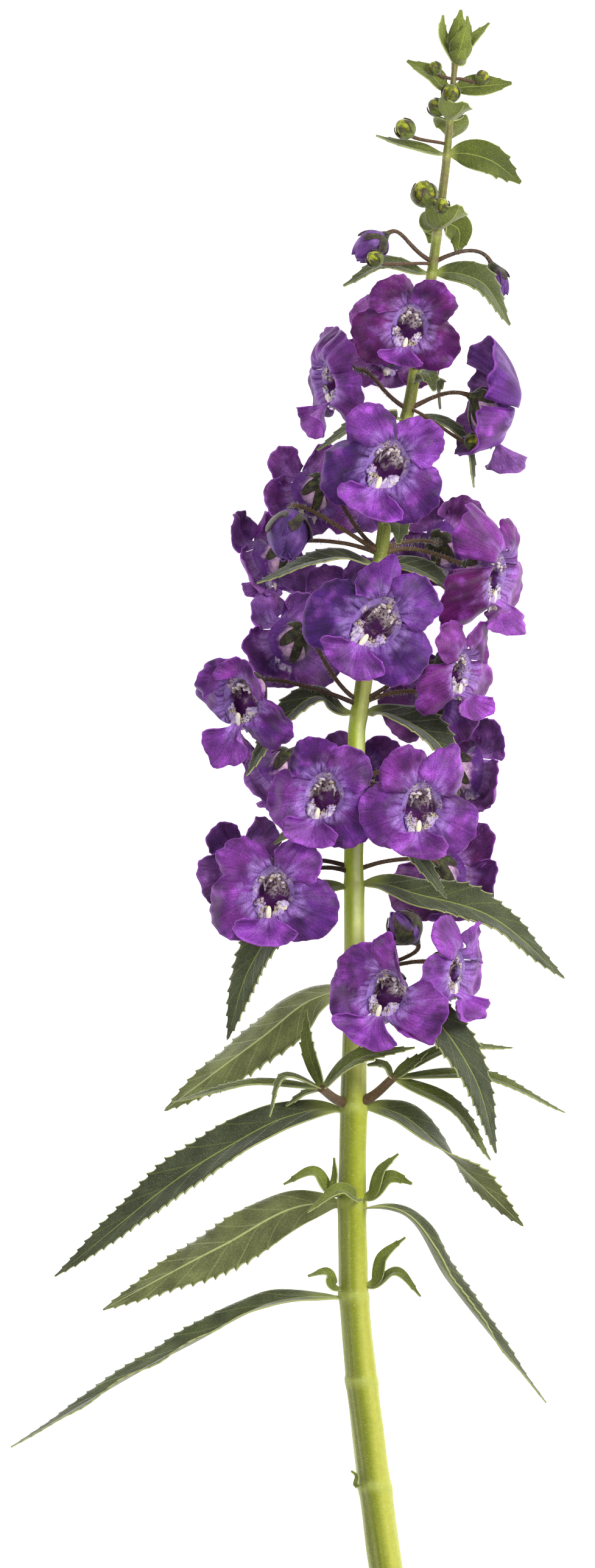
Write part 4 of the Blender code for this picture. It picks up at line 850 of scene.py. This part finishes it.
def petal_finish(name, blue, magenta, pale, highlight_strength):
    """Velvet, blue-violet to magenta by the bloom: patchy and finely grained, with a paler painted satin
    highlight near the throat.
    """
    made = Finish(name, 0.5, 0.2)
    made.shader.inputs["Sheen Tint"].default_value = tone(206, 130, 230)
    across, along = made.across_and_along()
    out = made.off_middle(across)
    made.ground(blue, magenta, made.above(made.uneven(made.mark("tint"), 1.1, 0.006), 0.0, 1.0))
    pale_share = made.sum("MULTIPLY_ADD", made.mark("pale"), 0.55, made.above(made.patches(0.004), 0.5, 0.85))
    made.coat(pale, pale_share, 0.75)
    made.shade(made.patches(0.0045, 1.0), 2.4, -0.2)
    made.shade(made.streaks(across, along, 44, 1.5), 1.5, 0.25)
    # Painted highlight: near the throat the petals are painted paler lavender in satin streaks.
    near = made.above(made.uneven(along, 0.9, 0.003), 0.46, 0.0)
    satin_highlight = made.above(made.streaks(across, along, 9, 1.5), 0.3, 0.62)
    made.coat((170, 134, 210), made.both(near, satin_highlight), highlight_strength)
    made.shade(made.patches(0.00024, 1.0), 1.7, 0.15)
    made.coat(pale, made.above(along, 0.975, 0.995), 0.5)
    made.coat(pale, made.both(made.above(out, 0.97, 0.995), made.above(along, 0.3, 0.6)), 0.4)
    return made.done(made.patches(0.0004), 0.00012)


petal_face = petal_finish("petal face", (58, 19, 92), (82, 15, 78), (158, 78, 188), 0.68)
petal_back = petal_finish("petal back", (78, 40, 108), (104, 40, 100), (160, 106, 180), 0.4)

# In the throat the mark up goes from -1 at its floor to 1 at its roof, and the mark deep from 0 at its rim
# to 1 at its back end.
lining = Finish("throat lining", 0.5)
lining_deep = lining.mark("deep")
lining_pale = lining.above(lining.uneven(lining.mark("up"), 2.4, 0.0024), -0.35, 0.55)
lining.ground((88, 34, 106), (226, 210, 208), lining_pale)
lining.coat((84, 28, 70), lining.above(lining.patches(0.00044, 0.5), 0.54, 0.59), 0.85)
# Painted light: from 0.4 to 0.9 of the way back, the lining is painted up to a quarter lighter against the
# shade deep in the throat.
lining.shade(lining.above(lining_deep, 0.9, 0.4), -0.25, 1.25)
lining.coat((160, 126, 204), lining.above(lining.uneven(lining_deep, 1.2, 0.0018), 0.34, -0.06), 0.85)
throat_lining = lining.done(lining.patches(0.0004), 0.00014)

pouch_skin = Finish("pouch skin", 0.5, 0.25)
pouch_pale = pouch_skin.above(pouch_skin.uneven(pouch_skin.mark("deep"), 1.4, 0.0015), 0.2, 0.85)
pouch_skin.ground((98, 50, 128), (206, 168, 196), pouch_pale)
pouch_skin.shade(pouch_skin.patches(0.0005), 1.4, 0.3)
pouch_outside = pouch_skin.done(pouch_skin.patches(0.0006), 0.0001)
PETAL_SIDES = (petal_face, throat_lining, petal_back, pouch_outside)

cream = Finish("cream tooth and palate", 0.4)
cream_up = cream.mark("tint")
cream.ground((238, 230, 194), (172, 146, 194), cream.above(cream_up, -0.1, 0.2))
cream.coat((206, 198, 208), cream.above(cream.patches(0.0013), 0.46, 0.62), 0.8)
cream_olive = cream.both(cream.above(cream.patches(0.001), 0.42, 0.56), cream.above(cream_up, 0.35, 0.65))
cream.coat((158, 150, 108), cream_olive, 0.85)
cream_spots = cream.above(cream.patches(0.00034, 0.5), 0.55, 0.6)
cream.coat((74, 30, 62), cream.both(cream_spots, cream.above(cream_up, 0.3, 0.6)), 0.9)
tooth_cream = cream.done(cream.patches(0.0004), 0.00008)

stamen = Finish("stamens", 0.35)
stamen.ground((208, 196, 206), (160, 142, 118), stamen.above(stamen.patches(0.0006, 1.0), 0.46, 0.6))
stamen.coat((60, 34, 60), stamen.above(stamen.patches(0.0007, 1.0), 0.6, 0.66), 0.8)
anther_grey = stamen.done(stamen.patches(0.0003), 0.00008)


def bloom_frame(facing, turn):
    """The bloom's own right, up and forward directions as a matrix."""
    forward = Vector(facing).normalized()
    tipward = Vector((0, 1, 0))
    up = (tipward - forward * tipward.dot(forward)).normalized()
    up = Matrix.Rotation(-math.radians(turn), 3, forward) @ up
    return Matrix((up.cross(forward), up, forward)).transposed()


def rim_point(turn):
    """The edge of the throat at this turn, a little uneven."""
    uneven = 1 + 0.06 * math.sin(2 * turn + 0.6) + 0.06 * math.sin(3 * turn + 2.0) + 0.03 * math.sin(5 * turn)
    return Vector((RIM_ACROSS * uneven * math.cos(turn), RIM_UP * uneven * math.sin(turn)))


def petal_point(shape, bending, wave, u, v, neck, fan, peak):
    """A point of a petal in the bloom's own directions: u from right edge to left, v out from the rim."""
    first, last, aim, reach, wide, long, lift_right, lift_left, bow, curl = shape
    turn = math.radians(first + (last - first) * (u + 1) / 2)
    root = rim_point(turn)
    aim = math.radians(aim)
    ahead = Vector((math.cos(aim), math.sin(aim)))
    left = Vector((-ahead.y, ahead.x))
    lobe = 1 + 0.2 * rough(u * 1.9, wave) + 0.09 * rough(u * 6.5, wave, 3)
    lobe += 0.016 * math.sin(u * 33 + wave) + 0.012 * math.sin(u * 21 - wave)
    lobe += peak[1] * math.exp(-((u - peak[0]) / 0.13) ** 2)
    edge = ahead * (reach + long * lobe * math.cos(u * fan)) + left * wide * lobe * math.sin(u * fan)
    straight = root.normalized() * (edge - root).dot(root.normalized())
    flat = root + straight * v + (edge - root - straight) * v ** neck
    lift = lift_right + (lift_left - lift_right) * (u + 1) / 2
    height = RIDGE * math.sin(math.pi * v ** 0.5) + lift * v + (bow + bending) * v * v + curl * u * u * v
    roll = ROLL * v * v * rough(u * 1.5 + wave, v * 1.9, wave)
    swell = SWELL * v * rough(flat.x * 0.4 + wave, flat.y * 0.4, wave)
    frill = FRILL * v ** 4 * rough(u * 4.5, wave, 7)
    crease = -CREASE * math.exp(-(u / 0.14) ** 2) * math.sin(math.pi * v)
    return Vector((flat.x, flat.y, height + roll + swell + frill + crease))


def funnel(v):
    """How wide the throat is behind its rim: it narrows fast, runs on, and ends blunt."""
    return math.sqrt(max(0.0, 1 - v * v)) * (1 - 0.26 * math.sin(math.pi * v ** 0.55) + 0.12 * v)


def pouch_point(u, v):
    """The throat behind the rim, u once round it and v from the rim to the back end."""
    rim = rim_point(math.pi * (u + 1)) * funnel(v)
    return Vector((rim.x, rim.y + POUCH_RISE * v * v - POUCH_SAG * math.sin(math.pi * v), -POUCH * v))


def pouch_sheet():
    """The pouch, its rim with a point for every column of every petal."""
    turns = []
    for first, last, *_ in PETALS.values():
        turns += [first + (last - first) * k / PETAL_COLUMNS for k in range(PETAL_COLUMNS + 1)]
    turns.append(turns[0] + 360)
    steps = len(turns) - 1
    return sheet(steps, POUCH_ROWS, lambda u, v: pouch_point(turns[round((u + 1) / 2 * steps)] / 180 - 1, v))


def marked(shape, **marks):
    """Writes one number a point for each named mark, from a value or from a formula of the point's place."""
    for name, value in marks.items():
        layer = shape.verts.layers.float.new(name)
        for vertex in shape.verts:
            vertex[layer] = value(vertex.co) if callable(value) else value
    return shape


def corolla(name, bending, pressed, magenta):
    """Petals and throat in one thin skin, in the bloom's own directions."""
    draw = random.Random(name)
    pouch = painted(pouch_sheet(), 1, magenta)
    parts = [marked(pouch, pale=0.0, up=lambda co: co.y / RIM_UP, deep=lambda co: -co.z / POUCH)]
    for k, (petal, (first, last, aim, reach, wide, long, *lifts, curl)) in enumerate(PETALS.items()):
        forward, neck, fan, peak = bending, 1.4, FAN, (0.0, 0.0)
        aim, reach = aim + draw.uniform(-5, 5), reach + draw.uniform(-0.4, 0.4)
        wide, long = wide * draw.uniform(0.92, 1.06), long * draw.uniform(0.9, 1.1)
        pale = PALE_PETALS.get(name, [draw.uniform(0.0, 0.7) for _ in range(4)])[min(k, 3)]
        if (name, petal) in OWN_PETALS:
            aim, reach, wide, long, bent, *own_peak = OWN_PETALS[name, petal]
            forward, peak = forward + bent, own_peak or peak
        if petal == "lip":
            pale = 1.2
        if petal == "lip" and not pressed:
            curled = CURLED_LIPS.get(name, 1.4)
            forward, neck, fan = forward + LIP_FORWARD + 0.2 * curled, 1.7, FAN * 1.15
            reach, curl = reach + LIP_OUT - 0.3 * curled, curled
        shape = (first, last, aim, reach, wide, long, *lifts, curl)
        wave = draw.uniform(0, 40)
        blade = sheet(PETAL_COLUMNS, PETAL_ROWS,
                      lambda u, v: petal_point(shape, forward, wave, -u, v, neck, fan, peak))
        painted(blade, 0, magenta + draw.uniform(-0.15, 0.15))
        parts.append(marked(blade, pale=pale, up=0.0, deep=0.0))
    return seam_closed(together(parts), 0.004)


def grain(place, sizes, tint, finish, lumps, upward=0.0, fine=3):
    """A small lumpy body: an anther, a pad of the palate or the tooth. Its tint may rise upward."""
    made = bmesh.new()
    bmesh.ops.create_icosphere(made, subdivisions=fine, radius=0.5)
    painted(made, finish)
    layer = made.verts.layers.float["tint"]
    for vertex in made.verts:
        vertex[layer] = tint + upward * vertex.co.y
        vertex.co *= 1 + lumps * rough(*(vertex.co * 3.5 + Vector(place) * 2))
    made.transform(Matrix.Translation(place) @ Matrix.Diagonal((*sizes, 1.0)))
    return made


def heart(name):
    """What stands in the throat: four stamens under its roof, a spotted palate and a pale tooth."""
    draw = random.Random(name + " heart")
    parts = [grain((draw.uniform(-0.4, 0.2), TOOTH_UP, TOOTH_FORWARD), TOOTH_SIZE, -0.2, 0, 0.1)]
    for turn, out, long, deep in PALATE:
        turn = math.radians(turn + draw.uniform(-7, 7))
        place = (out * math.cos(turn), 1.12 * out * math.sin(turn), deep + draw.uniform(-0.2, 0.2))
        parts.append(grain(place, (draw.uniform(1.3, 1.9), long, 1.0), draw.uniform(0.1, 0.6), 0, 0.8, 0.7))
    for side in (-1, 1):
        for out, up, size in STAMENS:
            tip = Vector((side * out + draw.uniform(-0.5, 0.5), up + draw.uniform(-0.6, 0.5), 0.0))
            root = Vector((side * 1.6, 0.4 - 0.5 * out, -3.2))
            handles = (root, root + Vector((0, 1.0, 1.4)), tip + Vector((0, 0.2, -1.6)), tip)
            steps = carried(lambda share: bend(handles, share), FILAMENT_RINGS)
            parts.append(painted(rod(steps, lambda u, v: FILAMENT_RADIUS, FILAMENT_SIDES), 1))
            parts.append(grain(tip, (1.25 * size, 0.8 * size, 0.8), 0, 1, 0.5, 0.0, 2))
            second = tip + Vector((side * 0.3, -0.6, -0.1))
            parts.append(grain(second, (0.7 * size, 1.0 * size, 0.7), 0, 1, 0.4, 0.0, 2))
    return together(parts)


for name, (throat, facing, turn, size, bending, _, magenta) in BLOOMS.items():
    seat = Matrix.Translation(throat) @ (bloom_frame(facing, turn) * size).to_4x4()
    petals = corolla(name, bending, facing[2] <= -0.5, magenta)
    petals.transform(seat)
    fitted("petals_of_" + name, petals, PETAL_SIDES, [name], PETAL_WALL, 2)
    middle = heart(name)
    middle.transform(seat @ Matrix.Diagonal((RIM_ACROSS / HEART_ACROSS, RIM_UP / HEART_UP, 1.0, 1.0)))
    fitted("heart_of_" + name, middle, [tooth_cream, anther_grey])

# The flower stalks and calyxes.
# A dark wiry stalk leaves the axil above each leaf and ends in a small green-brown calyx, whose five pointed
# sepals clasp the back of the pouch. Both are set with stiff white hairs.
STALK_RADIUS, STALK_RINGS, STALK_SIDES = 0.42, 40, 10
SEPALS = 5
CALYX_WALL, CALYX_COLUMNS, CALYX_ROWS = 0.22, 60, 12
CALYX_BEHIND = 1.2  # how far behind the pouch's end the calyx starts
CALYX_CLEAR = 0.35
STALK_HAIRS = (190, 0.75, 0.028)  # as in STEM_HAIRS
CALYX_HAIRS = (90, 0.65, 0.026)

sepal = Finish("calyx green", 0.55, 0.3)
_, sepal_along = sepal.across_and_along()
sepal.ground((40, 38, 27), (76, 80, 40), sepal.above(sepal.patches(0.0012), 0.38, 0.7))
sepal.coat((56, 32, 44), sepal.above(sepal_along, 0.45, 1.0), 0.6)
sepal.shade(sepal.patches(0.0004), 1.2, 0.4)
calyx_green = sepal.done(sepal.patches(0.0005), 0.00016)


def stalk_points(root, end, arrive, push=5.0, rise=3.0):
    """From inside the stem, out and up through the axil, to the end, which it meets along arrive."""
    along, angle = root
    centre, radius = stem_at(along + 1.3)
    start = centre + outward(angle) * radius * 0.4
    leave = centre + outward(angle) * (radius + push) + Vector((0, rise, 0))
    return start, leave, end - arrive * 4.0, end


def sepals(seat, girth, cup, point, columns=CALYX_COLUMNS):
    """A cup of five sepals joined at their base. girth gives its half widths and drop at any distance."""

    def place(u, v):
        angle = math.pi * u
        middle = abs(math.cos(SEPALS / 2 * angle)) ** 2.2
        along = v * (cup + point * middle)
        across, up, drop = girth(along)
        stand = 1 + 0.1 * v ** 3 * middle
        return seat @ Vector((across * stand * math.cos(angle), up * stand * math.sin(angle) + drop, along))

    return seam_closed(sheet(columns, CALYX_ROWS, place))


def round_pouch(along):
    """How wide a bloom's calyx is: it opens behind the pouch and then fits close round it."""
    if along < CALYX_BEHIND:
        return 0.5 + 0.5 * along, 0.5 + 0.5 * along, 0.0
    v = 1 - (along - CALYX_BEHIND) / POUCH
    drop = POUCH_RISE * (v * v - 1) - POUCH_SAG * math.sin(math.pi * v)
    across, up = (max(rim * funnel(v) + CALYX_CLEAR, 1.1) for rim in (RIM_ACROSS, RIM_UP))
    return across, up, drop


def flower_stalk(name, end, forward, cup, root, draw):
    """A stalk with its hairs, and the calyx at its end."""
    points = stalk_points(root, end, forward)
    steps = carried(lambda share: bend(points, share), STALK_RINGS)

    def radius(u, v):
        lumps = 0.04 * rough(math.cos(math.pi * u), math.sin(math.pi * u) + end.x, v * 14)
        return STALK_RADIUS + 0.12 * (1 - v) ** 4 + 0.2 * v ** 10 + lumps

    shank = painted(rod(steps, radius, STALK_SIDES), 0, draw.uniform(0.0, 0.35))
    tufts = hairs(spots_round(steps, radius, STALK_HAIRS[0], draw, 0.35), *STALK_HAIRS[1:], 1)
    fitted("stalk_of_" + name, together([shank, tufts]), [stalk_brown, white_hair])
    spots = []
    for vertex in draw.sample(cup.verts[:], CALYX_HAIRS[0]):
        lean = Vector([draw.uniform(-0.4, 0.4) for _ in range(3)])
        spots.append((vertex.co.copy(), ((vertex.co - end).normalized() + lean).normalized()))
    fitted("calyx_of_" + name, painted(cup), [calyx_green], (), CALYX_WALL)
    fitted("calyx_hairs_of_" + name, hairs(spots, *CALYX_HAIRS[1:]), [white_hair])


for name, (throat, facing, turn, size, _, root, _) in BLOOMS.items():
    axes = bloom_frame(facing, turn)
    forward = axes @ Vector((0, 0, 1))
    back = Vector(throat) + axes @ Vector((0, POUCH_RISE, -POUCH - CALYX_BEHIND)) * size
    seat = Matrix.Translation(back) @ (axes * size).to_4x4()
    cup = sepals(seat, round_pouch, 1.7, 3.0)
    flower_stalk(name, back + forward * 0.3, forward, cup, root, random.Random(name + " stalk"))

# The closed buds.
# The violet ones still have their petals wrapped round each other inside the calyx. The green ones near the
# tip are all calyx: five sepals closed to a point.
BUD_WALL = 0.2
BUD_COLUMNS, BUD_ROWS, BUD_FOLDS = 40, 20, 5
KNOP_SEPAL_HAIRS, KNOP_STALK_HAIRS = 70, 60
KNOP_HAIR = (0.5, 0.022)  # length; radius at the root
PETAL_BUDS = {  # middle; the way the tip points; length; width; stalk's root; share of magenta
    "bud_01": ((14.9, 110.3, 22.5), (-0.75, -0.6, 0.1), 7.6, 6.0, (106.2, 280), 0.5),
    "bud_02": ((41.4, 103.6, 16.5), (0.35, -0.9, -0.1), 6.6, 4.4, (106.2, 95), 0.5),
    "bud_03": ((-2.0, 50.6, 31.5), (-0.1, -0.95, 0.35), 10.5, 8.6, (46.5, 285), 0.3),
    "bud_04": ((21.8, -29.4, 28.0), (-0.6, 0.75, 0.3), 7.6, 6.6, (-41.5, 25), 0.5),
}
GREEN_BUDS = (  # middle; radius; stalk's root
    ((36.0, 70.1, 28.0), 1.7, (75.6, 50)),
    ((15.8, 107.8, 26.0), 1.7, (105.6, 300)),
    ((26.0, 121.3, 24.0), 2.7, (114.0, 330)),
    ((29.6, 118.8, 25.4), 1.6, (114.0, 10)),
    ((22.1, 134.8, 22.0), 2.1, (130.4, 275)),
    ((31.5, 142.1, 23.2), 1.9, (138.6, 350)),
    ((28.7, 139.5, 18.4), 1.9, (138.4, 200)),
    ((28.3, 147.5, 20.4), 1.3, (143.8, 280)),
    ((38.2, 145.6, 20.6), 1.3, (143.8, 85)),
)

knop = Finish("green bud", 0.5, 0.25)
knop.ground((158, 162, 40), (96, 104, 30), knop.above(knop.patches(0.0012), 0.4, 0.6))
knop.coat((96, 62, 70), knop.above(knop.patches(0.0016), 0.58, 0.7), 0.7)
bud_green = knop.done(knop.patches(0.0008), 0.0003)

young = Finish("young sepals", 0.5, 0.3)
_, young_along = young.across_and_along()
young.ground((74, 84, 36), (112, 122, 50), young.above(young.patches(0.001), 0.35, 0.65))
young.coat((66, 44, 46), young.above(young_along, 0.6, 1.0), 0.75)
young.shade(young.patches(0.0003), 1.2, 0.4)
young_sepals = young.done(young.patches(0.0004), 0.00014)

bud_violet = petal_finish("bud petals", (62, 34, 98), (84, 40, 98), (136, 96, 168), 0.2)


def belly(v):
    """How wide a closed bud is along it, 0 at both ends."""
    return math.sin(math.pi * min(max(v, 0.0), 1.0) ** 0.92) ** 0.52


def closed_body(seat, width, length, depth, lean):
    """A closed bud: a round body drawn to a blunt tip, with folds that turn round it."""

    def place(u, v):
        angle = math.pi * u
        crease = 1 - depth * abs(math.sin(BUD_FOLDS / 2 * (angle + lean * v))) ** 5
        wide = width / 2 * belly(v) * crease
        return seat @ Vector((wide * math.cos(angle), wide * math.sin(angle), (v - 0.5) * length))

    made = seam_closed(sheet(BUD_COLUMNS, BUD_ROWS, place))
    bmesh.ops.recalc_face_normals(made, faces=made.faces)
    return made


def wrap(seat, width, length, start, layer):
    """One petal wrapped half round a violet bud, its free edge standing off a little."""

    def place(u, v):
        angle = start + u * 1.45 + 0.5 * v
        stand = 1.03 + 0.05 * layer + 0.3 * max(u, 0.0) ** 3 * math.sin(math.pi * v ** 0.7)
        wide = width / 2 * belly(0.04 + 0.9 * v) * stand
        top = 0.97 - 0.16 * u * u + 0.04 * math.sin(7 * u + start)
        return seat @ Vector((wide * math.cos(angle), wide * math.sin(angle), (v * top - 0.5) * length))

    return sheet(20, 16, place)


for name, (middle, tip, length, width, root, magenta) in PETAL_BUDS.items():
    forward = Vector(tip).normalized()
    seat = seated(middle, forward)
    layers = [closed_body(seat, width * 0.9, length * 0.96, 0.3, 1.4)]
    layers += [wrap(seat, width * 0.9, length, k * 2.1, k % 2) for k in range(3)]
    for layer, pale in zip(layers, (0.0, 0.0, 0.3, 0.6)):
        marked(painted(layer, 0, magenta), pale=pale)
    fitted("wrapped_" + name, together(layers), [bud_violet], [name], BUD_WALL)
    end = Vector(middle) - forward * (length / 2 + 0.9)

    def round_bud(along):
        wide = max(0.5 + 0.7 * min(along, 1.2), width / 2 * belly((along - 0.9) / length) * 1.02 + 0.25)
        return wide, wide, 0.0

    green = 0.22 if name == "bud_04" else 0.0  # the lowest violet bud is the youngest, and mostly calyx
    cup = sepals(seated(end, forward), round_bud, (0.32 + green) * length, (0.34 + green) * length)
    flower_stalk(name, end + forward * 0.3, forward, cup, root, random.Random(name))

for k, (middle, radius, root) in enumerate(GREEN_BUDS):
    middle = Vector(middle)
    away = (middle - stem_at(root[0])[0]).normalized()
    forward = (away + Vector((0, 0.5, 0.3))).normalized()
    seat = seated(middle, forward)
    body = painted(closed_body(seat, 1.9 * radius, 2.1 * radius, 0.22, 0.6), 0)

    def round_knop(along):
        wide = max(0.4 + 0.6 * min(along, 0.5), radius * belly((along - 0.1) / (2.1 * radius)) * 0.98 + 0.12)
        return wide, wide, 0.0

    base = seat @ Matrix.Translation((0, 0, -1.05 * radius - 0.1))
    cup = sepals(base, round_knop, 0.9 * radius, radius, BUD_COLUMNS)
    draw = random.Random(k)
    points = stalk_points(root, middle - forward * radius * 0.9, forward, 1.2, 0.6)
    points = (points[0], points[1], points[3] - forward * 1.6, points[3])
    steps = carried(lambda share: bend(points, share), 16)
    shank = painted(rod(steps, lambda u, v: 0.36 + 0.12 * v ** 4, 8), 1, 0.25)
    places = [vertex.co.copy() for vertex in draw.sample(cup.verts[:], KNOP_SEPAL_HAIRS)]
    spots = [(place, (place - middle).normalized()) for place in places]
    spots += spots_round(steps, lambda u, v: 0.38, KNOP_STALK_HAIRS, draw, 0.35)
    bud = together([body, shank, hairs(spots, *KNOP_HAIR, 2)])
    fitted(f"green_bud_{k + 1}", bud, [bud_green, stalk_brown, white_hair])
    fitted(f"young_calyx_{k + 1}", painted(cup), [young_sepals], (), BUD_WALL)
